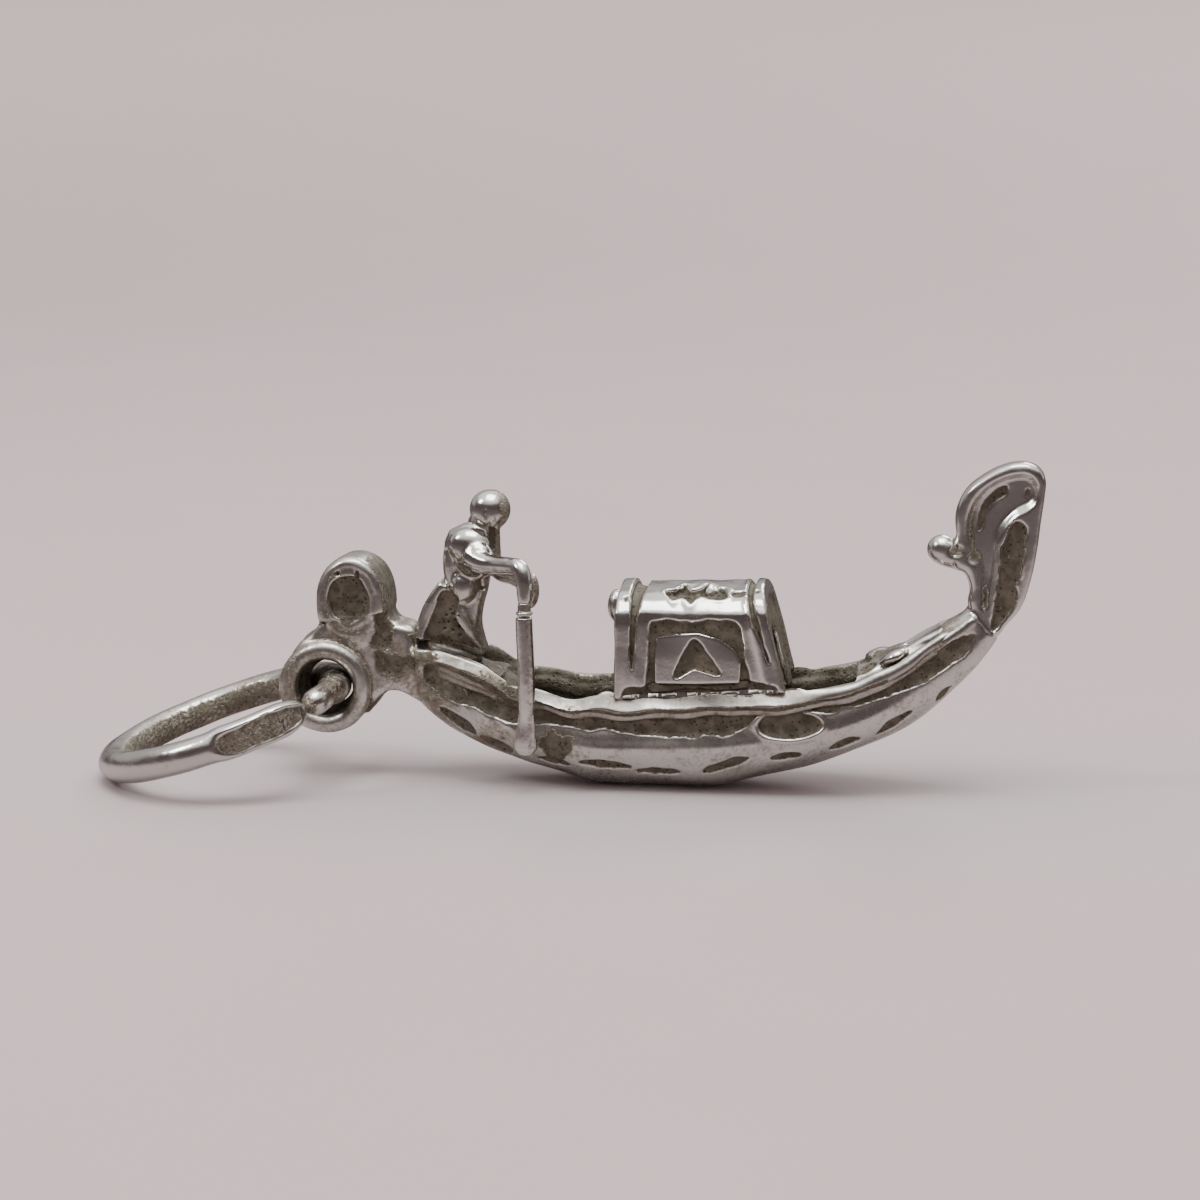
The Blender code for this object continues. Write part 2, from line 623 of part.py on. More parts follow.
def build_gondolier(charm):
    slices = []
    for x, y, z, wide, deep in TORSO:
        turns = [math.tau * i / 16 for i in range(16)]
        slices.append([metres(x + wide * math.cos(a), y + deep * math.sin(a), z) for a in turns])
    charm.add("gondolier_torso", loft(slices), POLISHED)
    head = keep_behind(ball(HEAD_AT, HEAD_RADIUS), Vector((0, 0, NECK_Z)), Vector((0, 0, -1)))
    charm.add("gondolier_head", head, POLISHED)
    legs = keep_behind(plate(LEGS, LEGS_THICK, LEGS_EDGE), Vector((0, 0, WAIST_Z - SEAM)),
                       Vector((0, 0, 1)))
    charm.add("gondolier_legs", legs, WORN)
    charm.add("gondolier_arm_starboard", tube(ARM_STARBOARD, ARM_RADIUS), POLISHED)
    charm.add("gondolier_arm_port", tube(ARM_PORT, ARM_RADIUS), WORN)


def build_oar(charm):
    up = Vector((0, 0, 1))
    middle = OAR_AT + up * (OAR_TOP + OAR_LOW) / 2
    charm.add("oar_shaft", cylinder(middle, OAR_RADIUS, OAR_TOP - OAR_LOW, up, 16), POLISHED)
    collar = OAR_AT + up * (OAR_TOP + SEAM + COLLAR_TALL / 2)
    charm.add("oar_collar", cylinder(collar, COLLAR_RADIUS, COLLAR_TALL, up, 16), WORN)
    charm.add("oar_blade", plate(BLADE, BLADE_THICK, BLADE_EDGE, y=BLADE_Y), POLISHED)


def ring_frame():
    """The ring's own frame: X to its far end, Z square to its plane, origin at its centre."""
    swing = Euler((0, -RING_DROP, 0)).to_matrix()
    lean = Euler((RING_ROLL, 0, 0)).to_matrix()
    turn = Euler((0, 0, RING_YAW)).to_matrix()
    to_far_end = Euler((0, 0, math.pi)).to_matrix()
    rotation = swing @ lean @ turn @ to_far_end
    centre = EYE_AT + rotation @ Vector((RING_RADIUS + RING_OFFSET, 0, 0))
    return Matrix.Translation(centre * MM) @ rotation.to_4x4()


def build_ring(charm):
    """A wire ring through the eye, with a blank flattened pad on its outer side."""
    bpy.ops.mesh.primitive_torus_add(major_radius=RING_RADIUS * MM, minor_radius=RING_WIRE * MM,
                                     major_segments=72, minor_segments=14)
    guide = bpy.context.object
    mesh = guide.data.copy()
    bpy.data.objects.remove(guide)
    out = Vector((math.cos(RING_PAD_ANGLE), math.sin(RING_PAD_ANGLE), 0))
    mesh = keep_behind(mesh, out * RING_PAD_DISTANCE, out)
    pivot = Matrix.Translation(EYE_AT * MM)
    mesh.transform(pivot.inverted() @ ring_frame())
    ring = charm.add("jump_ring", mesh, POLISHED)
    ring.location = EYE_AT * MM


def main():
    clear_scene()
    charm = Charm()
    build_hull(charm)
    build_rails(charm)
    build_decks(charm)
    build_cabin(charm)
    build_bow(charm)
    build_stern(charm)
    build_gondolier(charm)
    build_oar(charm)
    build_ring(charm)


main()
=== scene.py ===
import json
import logging
import math
from contextlib import contextmanager
from dataclasses import dataclass, field
from enum import Enum
from typing import Iterable, Iterator, Optional, Sequence

import bpy
import numpy as np
from mathutils import Matrix, Vector
from mathutils.bvhtree import BVHTree


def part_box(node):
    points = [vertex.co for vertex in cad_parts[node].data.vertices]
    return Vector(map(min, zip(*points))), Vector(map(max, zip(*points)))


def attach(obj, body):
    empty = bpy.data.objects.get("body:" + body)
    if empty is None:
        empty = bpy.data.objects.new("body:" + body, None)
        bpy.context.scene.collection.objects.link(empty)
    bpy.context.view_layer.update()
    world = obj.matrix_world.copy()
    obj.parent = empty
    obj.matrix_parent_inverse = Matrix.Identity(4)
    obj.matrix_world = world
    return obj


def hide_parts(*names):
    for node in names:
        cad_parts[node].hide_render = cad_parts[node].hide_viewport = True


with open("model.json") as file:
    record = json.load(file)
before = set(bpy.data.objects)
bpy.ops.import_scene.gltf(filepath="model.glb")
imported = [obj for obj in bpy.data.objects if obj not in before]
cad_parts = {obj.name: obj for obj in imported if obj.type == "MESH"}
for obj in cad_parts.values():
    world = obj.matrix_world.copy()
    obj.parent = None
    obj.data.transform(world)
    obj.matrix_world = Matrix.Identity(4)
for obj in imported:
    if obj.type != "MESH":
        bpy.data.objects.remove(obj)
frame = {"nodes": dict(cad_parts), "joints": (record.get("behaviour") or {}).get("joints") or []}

log = logging.getLogger("gondola_charm")

# Pieces are shaped a thousand times up, so that one unit is a millimetre, and are
# brought down to real size when they are finished.
SHAPING = 1000.0
MM = 1.0 / SHAPING

# Points nearer to each other than this are one point, and faces that meet at a wider
# angle than CREASE keep a crisp edge between them.
WELD = 0.0005
CREASE = math.radians(55.0)

Point = tuple[float, float, float]
Flat = tuple[float, float]
Colour = tuple[float, float, float, float]

AFT: Point = (-1.0, 0.0, 0.0)
DOWN: Point = (0.0, 0.0, -1.0)
UP: Point = (0.0, 0.0, 1.0)


# ---------------------------------------------------------------------------
# Small helpers
# ---------------------------------------------------------------------------


def smooth_step(low: float, high: float, value: np.ndarray) -> np.ndarray:
    """A soft step from 0 at low to 1 at high.

    Args:
        low: Where the step starts.
        high: Where the step ends; it may lie below low, for a falling step.
        value: The numbers to step.

    Returns:
        The stepped numbers, from 0 to 1.
    """
    t = np.clip((value - low) / (high - low), 0.0, 1.0)
    return t * t * (3.0 - 2.0 * t)


def ripple(points: np.ndarray, size: float, seed: int) -> np.ndarray:
    """A soft, even noise made from a few waves.

    Args:
        points: Places, one a row, in millimetres.
        size: The length of the shortest waves, in millimetres.
        seed: Picks one of many patterns.

    Returns:
        One number a place, mostly from -1 to 1.
    """
    rng = np.random.default_rng(seed)
    total = np.zeros(len(points))
    waves = 9
    for _ in range(waves):
        way = rng.normal(size=points.shape[1])
        way *= math.tau / (size * rng.uniform(1.0, 2.6)) / np.linalg.norm(way)
        total += np.sin(points @ way + rng.uniform(0.0, math.tau))
    return total / math.sqrt(waves) * 0.8


def rounded(points: Sequence[Flat], turns: int = 5) -> np.ndarray:
    """A closed outline through the points, rounded off between them.

    Args:
        points: The outline's own points, in order.
        turns: How many short sides run from one point to the next.

    Returns:
        The finer outline, one point a row.
    """
    p = np.array(points, float)
    before, after, beyond = np.roll(p, 1, 0), np.roll(p, -1, 0), np.roll(p, -2, 0)
    parts = []
    for i in range(turns):
        t = i / turns
        parts.append(0.5 * (2 * p + (after - before) * t
                            + (2 * before - 5 * p + 4 * after - beyond) * t ** 2
                            + (3 * p - before - 3 * after + beyond) * t ** 3))
    return np.stack(parts, 1).reshape(-1, 2)


def capsule(start: Flat, end: Flat, width: float, bow: float = 0.0) -> list[Flat]:
    """The outline of a short stroke with pointed-round ends.

    Args:
        start: One end of the stroke.
        end: The other end.
        width: The stroke's width at its middle.
        bow: How far the stroke's middle bends to its left.

    Returns:
        Six points round the stroke.
    """
    a, b = Vector(start), Vector(end)
    run = b - a
    side = Vector((-run.y, run.x)).normalized()
    places = [(0.0, 0.0), (0.28, -0.5), (0.72, -0.46), (1.0, 0.0), (0.72, 0.5), (0.28, 0.46)]
    made = []
    for share, out in places:
        lift = bow * (1.0 - (2.0 * share - 1.0) ** 2)
        spot = a + run * share + side * (out * width + lift)
        made.append((spot.x, spot.y))
    return made


def oval(centre: Flat, half: Flat, tilt: float = 0.0) -> list[Flat]:
    """The outline of an ellipse.

    Args:
        centre: Its middle.
        half: Its half sizes.
        tilt: How far it is turned, in degrees.

    Returns:
        Eight points round it.
    """
    turn = math.radians(tilt)
    made = []
    for i in range(8):
        a = math.tau * i / 8
        u, v = half[0] * math.cos(a), half[1] * math.sin(a)
        made.append((centre[0] + u * math.cos(turn) - v * math.sin(turn),
                     centre[1] + u * math.sin(turn) + v * math.cos(turn)))
    return made


def inside_depth(outline: np.ndarray, spots: np.ndarray) -> np.ndarray:
    """How far each spot is inside a closed outline.

    Args:
        outline: The outline's points, one a row.
        spots: Flat places, one a row.

    Returns:
        The distance to the outline, positive inside it.
    """
    best = np.full(len(spots), np.inf)
    within = np.zeros(len(spots), bool)
    for a, b in zip(outline, np.roll(outline, -1, 0)):
        side = b - a
        length = side @ side
        if length == 0.0:
            continue
        t = np.clip(((spots - a) @ side) / length, 0.0, 1.0)
        best = np.minimum(best, np.linalg.norm(spots - a - t[:, None] * side, axis=1))
        if a[1] != b[1]:
            cross = (spots[:, 1] > a[1]) != (spots[:, 1] > b[1])
            edge = a[0] + (spots[:, 1] - a[1]) * side[0] / side[1]
            within ^= cross & (spots[:, 0] < edge)
    return np.where(within, best, -best)


def node_box(node: str) -> tuple[Vector, Vector]:
    """A frame node's lowest and highest corners, in millimetres."""
    low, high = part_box(node)
    return low * SHAPING, high * SHAPING


def frame_joint(name: str) -> dict:
    """The frame's joint of that name."""
    return next(joint for joint in frame["joints"] if joint["name"] == name)


# ---------------------------------------------------------------------------
# Marks pressed into a casting
# ---------------------------------------------------------------------------


class View(Enum):
    """The way that a mark is looked at: its two flat axes and its depth axis."""

    SIDE = (0, 2, 1)
    TOP = (0, 1, 2)
    END = (1, 2, 0)


@dataclass(frozen=True)
class Mark:
    """A shape sunk into a casting's face, or raised from it, with tarnish in it; with no depth, it is
    a flat patch of painted shade.
    """

    outline: Sequence[Flat]
    depth: float
    slope: float = 0.08
    dark: float = 1.0
    wobble: float = 0.03
    grain: float = 0.0
    view: View = View.SIDE
    side: int = 0
    lip: float = 0.0
    facing: float = 0.2
    round_turns: int = 5

    def press(self, spots: np.ndarray, facing: np.ndarray,
              seed: int) -> tuple[np.ndarray, np.ndarray]:
        """Works out the mark at each place.

        Args:
            spots: Places on the piece, one a row.
            facing: The direction that the piece faces at each place.
            seed: Picks the wobble of the mark's edge.

        Returns:
            How far each place sinks, and how dark it becomes.
        """
        u, v, out = self.view.value
        flat = spots[:, [u, v]]
        line = rounded(self.outline, self.round_turns)
        deep = inside_depth(line, flat) + self.wobble * ripple(flat, 0.5, seed)
        deep += 0.16 * self.wobble * ripple(flat, 0.18, seed + 3)
        way = facing[:, out]
        share = smooth_step(self.facing, self.facing + 0.25, np.abs(way))
        if self.side:
            share *= (np.sign(way) == self.side)
        sunk = smooth_step(-0.5 * self.slope, 0.5 * self.slope, deep)
        rim = np.exp(-(((deep + self.slope) / (0.8 * self.slope)) ** 2))
        rough = self.grain * sunk * ripple(spots, 0.22, seed + 7)
        tone = smooth_step(-0.9 * self.slope, 0.45 * self.slope, deep)
        return (self.depth * sunk - self.lip * rim + rough) * share, self.dark * tone * share


# ---------------------------------------------------------------------------
# The bench: what is done to one piece
# ---------------------------------------------------------------------------


def only_nothing() -> None:
    """Deselects everything in object mode."""
    if bpy.context.mode != "OBJECT":
        bpy.ops.object.mode_set(mode="OBJECT")
    bpy.ops.object.select_all(action="DESELECT")


def only(obj: bpy.types.Object) -> None:
    """Deselects everything, then selects one object and makes it active."""
    only_nothing()
    obj.select_set(True)
    bpy.context.view_layer.objects.active = obj


@contextmanager
def editing(obj: bpy.types.Object) -> Iterator[None]:
    """Edit mode on one object, which starts with all of it selected.

    Args:
        obj: The object.

    Returns:
        The context, which goes back to object mode at its end.
    """
    only(obj)
    bpy.ops.object.mode_set(mode="EDIT")
    bpy.ops.mesh.select_all(action="SELECT")
    yield
    bpy.ops.object.mode_set(mode="OBJECT")


def apply_place(obj: bpy.types.Object) -> None:
    """Puts an object's own place, turn and size into its mesh."""
    only(obj)
    bpy.ops.object.transform_apply(location=True, rotation=True, scale=True)


def apply(obj: bpy.types.Object, modifier: bpy.types.Modifier) -> None:
    """Applies one modifier to an object."""
    only(obj)
    bpy.ops.object.modifier_apply(modifier=modifier.name)


def from_node(node: str, name: str) -> bpy.types.Object:
    """A copy of a frame node at shaping size, with its doubled points merged.

    Args:
        node: The frame node to copy.
        name: The new piece's name.

    Returns:
        The new object.
    """
    mesh = frame["nodes"][node].data.copy()
    mesh.materials.clear()
    obj = bpy.data.objects.new(name, mesh)
    bpy.context.scene.collection.objects.link(obj)
    obj.scale = (SHAPING, SHAPING, SHAPING)
    apply_place(obj)
    with editing(obj):
        bpy.ops.mesh.remove_doubles(threshold=WELD)
    return obj


def trimmed(node: str, name: str, at: Point, normal: Point) -> bpy.types.Object:
    """A copy of a frame node, cut off behind a plane.

    Args:
        node: The frame node to copy.
        name: The new piece's name.
        at: A point on the plane.
        normal: The plane's normal; what lies before the plane goes.

    Returns:
        The new object, closed again where it was cut.
    """
    obj = from_node(node, name)
    with editing(obj):
        bpy.ops.mesh.bisect(plane_co=at, plane_no=normal, use_fill=True, clear_outer=True)
    return obj


def pebble(name: str, centre: Point, half: Point, turn: Point = (0, 0, 0)) -> bpy.types.Object:
    """An ellipsoid, to be melted into a casting.

    Args:
        name: Its name.
        centre: Its middle.
        half: Its half sizes.
        turn: Its turn about X, Y and Z, in degrees.

    Returns:
        The new object.
    """
    only_nothing()
    bpy.ops.mesh.primitive_uv_sphere_add(segments=24, ring_count=16, radius=1.0, location=centre,
                                         rotation=[math.radians(a) for a in turn], scale=half)
    obj = bpy.context.object
    obj.name = name
    apply_place(obj)
    return obj


def rod(name: str, points: Sequence[Point], radii: Sequence[float],
        squash: Point = (1, 1, 1)) -> bpy.types.Object:
    """A round bar along a smooth line, with its own radius at each point.

    Args:
        name: Its name.
        points: The line's points.
        radii: The bar's radius at each point.
        squash: How the bar is scaled about its first point, for a flattened bar.

    Returns:
        The new mesh object.
    """
    curve = bpy.data.curves.new(name, "CURVE")
    curve.dimensions = "3D"
    curve.bevel_depth = 1.0
    curve.bevel_resolution = 4
    curve.use_fill_caps = True
    curve.resolution_u = 6
    spline = curve.splines.new("BEZIER")
    spline.bezier_points.add(len(points) - 1)
    start = Vector(points[0])
    for knot, point, radius in zip(spline.bezier_points, points, radii):
        knot.co = Vector(point) - start
        knot.radius = radius
        knot.handle_left_type = knot.handle_right_type = "AUTO"
    obj = bpy.data.objects.new(name, curve)
    obj.location = start
    obj.scale = squash
    bpy.context.scene.collection.objects.link(obj)
    only(obj)
    bpy.ops.object.convert(target="MESH")
    obj = bpy.context.object
    apply_place(obj)
    with editing(obj):
        bpy.ops.mesh.remove_doubles(threshold=WELD)
        bpy.ops.mesh.normals_make_consistent(inside=False)
    return obj


def slab(name: str, outline: Sequence[Flat], low: float, high: float,
         edge: float) -> bpy.types.Object:
    """An upright outline with thickness: a filled circle whose points are moved, then extruded.

    Args:
        name: Its name.
        outline: Its points, seen from the boat's side.
        low: Where it starts across the boat.
        high: Where it ends there.
        edge: The width of the bevel round it.

    Returns:
        The new object.
    """
    only_nothing()
    bpy.ops.mesh.primitive_circle_add(vertices=len(outline), radius=1.0, fill_type="NGON")
    obj = bpy.context.object
    obj.name = name
    for vertex, (along, up) in zip(obj.data.vertices, outline):
        vertex.co = (along, low, up)
    with editing(obj):
        bpy.ops.mesh.extrude_region_move(TRANSFORM_OT_translate={"value": (0.0, high - low, 0.0)})
        bpy.ops.mesh.select_all(action="SELECT")
        bpy.ops.mesh.normals_make_consistent(inside=False)
        bpy.ops.mesh.bevel(offset=edge, segments=3, affect="EDGES")
    return obj


def melt(name: str, parts: Sequence[bpy.types.Object]) -> bpy.types.Object:
    """Joins parts into one object, ready to be given one skin.

    Args:
        name: The joined object's name.
        parts: The parts; the first one stays and the others are joined to it.

    Returns:
        The joined object.
    """
    only(parts[0])
    for part in parts[1:]:
        part.select_set(True)
    bpy.ops.object.join()
    parts[0].name = name
    return parts[0]


def soften(obj: bpy.types.Object, times: int) -> None:
    """Smooths an object as many times as asked."""
    smooth = obj.modifiers.new("soften", "SMOOTH")
    smooth.factor = 0.5
    smooth.iterations = times
    apply(obj, smooth)


def skin(obj: bpy.types.Object, grain: float, times: int) -> bpy.types.Object:
    """Gives an object one even, softened skin, as a casting has.

    Args:
        obj: The object, which may be several closed bodies that overlap.
        grain: The size of the skin's faces.
        times: How many times the skin is smoothed.

    Returns:
        The object.
    """
    remesh = obj.modifiers.new("skin", "REMESH")
    remesh.mode = "VOXEL"
    remesh.voxel_size = grain
    remesh.adaptivity = 0.0
    apply(obj, remesh)
    soften(obj, times)
    return obj


def lumps(obj: bpy.types.Object, height: float, size: float, seed: int) -> None:
    """Leaves the gentle unevenness of a casting on a skin.

    Args:
        obj: The piece.
        height: How far it rises and sinks.
        size: How wide the lumps are.
        seed: Picks the pattern.
    """
    spots, facing = read_skin(obj)
    write_spots(obj, spots + facing * (height * ripple(spots, size, seed))[:, None])


def split(obj: bpy.types.Object, name: str, at: Point, normal: Point) -> bpy.types.Object:
    """Cuts an object in two with a plane, and closes both halves.

    Args:
        obj: The object, which keeps what lies behind the plane.
        name: The name of the new object, which gets what lies before it.
        at: A point on the plane.
        normal: The plane's normal.

    Returns:
        The new object.
    """
    other = obj.copy()
    other.data = obj.data.copy()
    other.name = name
    bpy.context.scene.collection.objects.link(other)
    for piece, keep_front in ((obj, False), (other, True)):
        with editing(piece):
            bpy.ops.mesh.bisect(plane_co=at, plane_no=normal, use_fill=True,
                                clear_inner=keep_front, clear_outer=not keep_front)
    return other


def read_skin(obj: bpy.types.Object) -> tuple[np.ndarray, np.ndarray]:
    """The places of a mesh's points and the directions that they face."""
    count = len(obj.data.vertices)
    spots, facing = np.empty(count * 3), np.empty(count * 3, np.float32)
    obj.data.vertices.foreach_get("co", spots)
    obj.data.vertex_normals.foreach_get("vector", facing)
    return spots.reshape(-1, 3), facing.reshape(-1, 3).astype(float)


def write_spots(obj: bpy.types.Object, spots: np.ndarray) -> None:
    """Moves a mesh's points to new places."""
    obj.data.vertices.foreach_set("co", spots.astype(np.float32).ravel())
    obj.data.update()


def set_mask(obj: bpy.types.Object, name: str, values: np.ndarray) -> None:
    """Stores one number a point under a name."""
    layer = obj.data.attributes.get(name) or obj.data.attributes.new(name, "FLOAT", "POINT")
    layer.data.foreach_set("value", np.clip(values, 0.0, 1.0).astype(np.float32))


def get_mask(obj: bpy.types.Object, name: str) -> np.ndarray:
    """The numbers stored under a name, or zeros."""
    layer = obj.data.attributes.get(name)
    values = np.zeros(len(obj.data.vertices), np.float32)
    if layer is not None:
        layer.data.foreach_get("value", values)
    return values.astype(float)


def edge_ends(obj: bpy.types.Object) -> np.ndarray:
    """The two points of each of a mesh's edges, one edge a row."""
    ends = np.empty(len(obj.data.edges) * 2, np.int32)
    obj.data.edges.foreach_get("vertices", ends)
    return ends.reshape(-1, 2)


def spread(obj: bpy.types.Object, values: np.ndarray, steps: int) -> np.ndarray:
    """Averages values over a mesh's neighbours, again and again.

    Args:
        obj: The mesh object.
        values: One row a point.
        steps: How many times they are averaged.

    Returns:
        The averaged values.
    """
    a, b = edge_ends(obj).T
    count = len(obj.data.vertices)
    near = np.maximum(np.bincount(a, minlength=count) + np.bincount(b, minlength=count), 1)
    rows = values.reshape(count, -1).copy()
    for _ in range(steps):
        for k in range(rows.shape[1]):
            column = rows[:, k]
            total = (np.bincount(a, column[b], count) + np.bincount(b, column[a], count)) / near
            rows[:, k] = 0.5 * column + 0.5 * total
    return rows.reshape(values.shape)


# How many of a mesh's edges its typical edge length is worked out from.
SAMPLE_EDGES = 4000


@dataclass(frozen=True)
class Wear:
    """How tarnish gathers on a piece, and how it is rubbed off."""

    base: float = 0.0
    hollow: float = 1.0
    joint: float = 1.0
    edge: float = 1.0


def press_marks(obj: bpy.types.Object, marks: Iterable[Mark], seed: int = 1) -> None:
    """Presses marks into a piece, one after another, and stores their tarnish and painted shade.

    Args:
        obj: The piece.
        marks: The marks.
        seed: Picks the wobble of their edges.
    """
    dark = get_mask(obj, "mark")
    spots, facing = read_skin(obj)
    facing = spread(obj, facing, 4)
    sunk = np.zeros(len(spots))
    for i, mark in enumerate(marks):
        down, tone = mark.press(spots, facing, seed + 13 * i)
        sunk += down
        dark = np.maximum(dark, tone)
    write_spots(obj, spots - facing * sunk[:, None])
    set_mask(obj, "mark", dark)


def weather(obj: bpy.types.Object, wear: Wear) -> None:
    """Works out a piece's tarnish, and the painted shade in its marks, from its marks and hollows,
    and its rub from its edges.

    Args:
        obj: The finished piece at shaping size.
        wear: How strongly each is felt.
    """
    spots, facing = read_skin(obj)
    ends = edge_ends(obj)[:SAMPLE_EDGES]
    size = np.median(np.linalg.norm(spots[ends[:, 0]] - spots[ends[:, 1]], axis=1))
    near, far = spread(obj, spots, 5), spread(obj, spots, 40)
    fine = ((near - spots) * facing).sum(1) / size
    broad = ((far - spots) * facing).sum(1) / size
    hollow = smooth_step(0.05, 0.30, fine) * 0.6 + smooth_step(0.25, 1.5, broad) * 0.75
    edge = smooth_step(0.05, 0.35, -fine) * 0.6 + smooth_step(0.3, 1.5, -broad) * 0.6
    mark = get_mask(obj, "mark")
    set_mask(obj, "tarnish", wear.base + mark + wear.hollow * hollow * (1 - 0.5 * mark))
    set_mask(obj, "rub", wear.edge * edge)


# ---------------------------------------------------------------------------
# Finishes
# ---------------------------------------------------------------------------


class Nodes:
    """A short way to build a shader node tree."""

    def __init__(self, tree: bpy.types.NodeTree) -> None:
        """Keeps the tree that nodes are added to."""
        self.tree = tree

    def add(self, kind: str, inputs: Optional[dict] = None, **settings: object) -> bpy.types.Node:
        """Adds a node.

        Args:
            kind: The node's type.
            inputs: Its sockets' values, or the sockets that they are linked from.
            **settings: The node's own settings.

        Returns:
            The node.
        """
        node = self.tree.nodes.new(kind)
        for name, value in settings.items():
            setattr(node, name, value)
        for key, value in (inputs or {}).items():
            if isinstance(value, bpy.types.NodeSocket):
                self.tree.links.new(value, node.inputs[key])
            else:
                node.inputs[key].default_value = value
        return node

    def math(self, what: str, a: object, b: object) -> object:
        """The output of a math node."""
        return self.add("ShaderNodeMath", {0: a, 1: b}, operation=what).outputs[0]

    def plus(self, a: object, b: object) -> object:
        """The sum of two values."""
        return self.math("ADD", a, b)

    def minus(self, a: object, b: object) -> object:
        """One value less another."""
        return self.math("SUBTRACT", a, b)

    def times(self, a: object, b: object) -> object:
        """The product of two values."""
        return self.math("MULTIPLY", a, b)

    def mix(self, share: object, a: object, b: object) -> object:
        """The output of a colour mix."""
        node = self.add("ShaderNodeMix", {"Factor": share, 6: a, 7: b}, data_type="RGBA")
        return node.outputs[2]

    def step(self, value: object, low: float, high: float) -> object:
        """A soft step of a value, from 0 at low to 1 at high."""
        node = self.add("ShaderNodeMapRange", {0: value, 1: low, 2: high},
                        interpolation_type="SMOOTHSTEP")
        return node.outputs[0]


def rgb(red: float, green: float, blue: float) -> Colour:
    """A colour with full alpha."""
    return (red, green, blue, 1.0)


def patina_group() -> bpy.types.ShaderNodeTree:
    """Builds the group that lays sulphide tarnish over silver.

    Returns:
        A group that takes the tarnish and rub masks and gives the colour, roughness, metal
        share and height of the surface.
    """
    tree = bpy.data.node_groups.new("silver_patina", "ShaderNodeTree")
    for way, kind, names in (("INPUT", "Float", ("Tarnish", "Rub", "Reach", "Polish", "Matt")),
                             ("INPUT", "Color", ("Bright", "Film", "Black")),
                             ("OUTPUT", "Color", ("Color",)),
                             ("OUTPUT", "Float", ("Roughness", "Metal", "Height"))):
        for name in names:
            tree.interface.new_socket(name, in_out=way, socket_type="NodeSocket" + kind)
    n = Nodes(tree)
    given = n.add("NodeGroupInput").outputs
    place = n.add("ShaderNodeTexCoord").outputs["Object"]

    def cloud(scale: float, detail: float, rough: float) -> object:
        """A soft noise over the piece."""
        return n.add("ShaderNodeTexNoise", {"Vector": place, "Scale": scale, "Detail": detail,
                                            "Roughness": rough}).outputs["Fac"]

    grain, patch, broad = cloud(9000, 5, 0.6), cloud(2300, 4, 0.55), cloud(520, 3, 0.5)
    speck = n.add("ShaderNodeTexVoronoi", {"Vector": place, "Scale": 6500.0}).outputs["Distance"]
    pits = n.minus(1.0, n.step(speck, 0.10, 0.30))

    # Tarnish reaches further where the grain and patches let it, and less where it is rubbed.
    sway = n.plus(n.times(n.minus(grain, 0.5), 0.95), n.times(n.minus(patch, 0.5), 0.80))
    held = n.minus(given["Tarnish"], n.times(given["Rub"], 0.55))
    deep = n.plus(n.plus(held, sway), n.minus(given["Reach"], 0.5))
    film = n.step(deep, 0.05, 0.50)
    black = n.step(deep, 0.40, 0.78)

    tone = n.mix(n.times(film, 0.85), given["Bright"], given["Film"])
    dusty = n.mix(n.step(patch, 0.35, 0.7), given["Black"],
                  n.mix(0.34, given["Black"], given["Film"]))
    tone = n.mix(black, tone, dusty)
    tone = n.mix(n.times(pits, n.times(black, 0.7)), tone, rgb(0.015, 0.013, 0.01))

    matt = n.plus(given["Matt"], n.times(n.minus(grain, 0.5), 0.3))
    clouded = n.step(n.plus(n.times(broad, 0.6), n.times(patch, 0.4)), 0.42, 0.66)
    polish = n.plus(given["Polish"], n.times(clouded, 0.13))
    rough = n.add("ShaderNodeMix", {"Factor": n.math("MAXIMUM", n.times(film, 0.32), black),
                                    2: polish, 3: matt}, data_type="FLOAT").outputs[0]
    metal = n.minus(1.0, n.times(black, 0.80))

    crust = n.times(n.minus(n.plus(grain, n.times(patch, 0.7)), n.times(pits, 0.9)), black)
    height = n.plus(crust, n.times(cloud(4200, 3, 0.5), 0.22))
    n.add("NodeGroupOutput", {"Color": tone, "Roughness": rough, "Metal": metal,
                              "Height": height})
    return tree


@dataclass(frozen=True)
class SilverFinish:
    """One finish of silver: its own colours, and how deep the tarnish goes."""

    name: str
    slot: str
    bright: Colour = rgb(0.80, 0.785, 0.745)
    film: Colour = rgb(0.33, 0.285, 0.215)
    black: Colour = rgb(0.078, 0.067, 0.045)
    reach: float = 0.5
    polish: float = 0.16
    matt: float = 0.55
    grain_height: float = 0.000035

    def build(self, patina: bpy.types.ShaderNodeTree) -> bpy.types.Material:
        """Builds the material.

        Args:
            patina: The shared tarnish group.

        Returns:
            The new material.
        """
        material = bpy.data.materials.new(self.name)
        material.use_nodes = True
        n = Nodes(material.node_tree)
        shader = material.node_tree.nodes["Principled BSDF"]

        def mask(name: str) -> object:
            """One of the masks stored on the piece."""
            return n.add("ShaderNodeAttribute", attribute_name=name).outputs["Fac"]

        made = n.add("ShaderNodeGroup", node_tree=patina)
        for key, value in (("Bright", self.bright), ("Film", self.film), ("Black", self.black),
                           ("Reach", self.reach), ("Polish", self.polish), ("Matt", self.matt)):
            made.inputs[key].default_value = value
        n.tree.links.new(mask("tarnish"), made.inputs["Tarnish"])
        n.tree.links.new(mask("rub"), made.inputs["Rub"])
        bump = n.add("ShaderNodeBump", {"Height": made.outputs["Height"], "Strength": 1.0,
                                        "Distance": self.grain_height})
        for socket, source in (("Base Color", made.outputs["Color"]),
                               ("Roughness", made.outputs["Roughness"]),
                               ("Metallic", made.outputs["Metal"]),
                               ("Normal", bump.outputs["Normal"])):
            n.tree.links.new(source, shader.inputs[socket])
        return material


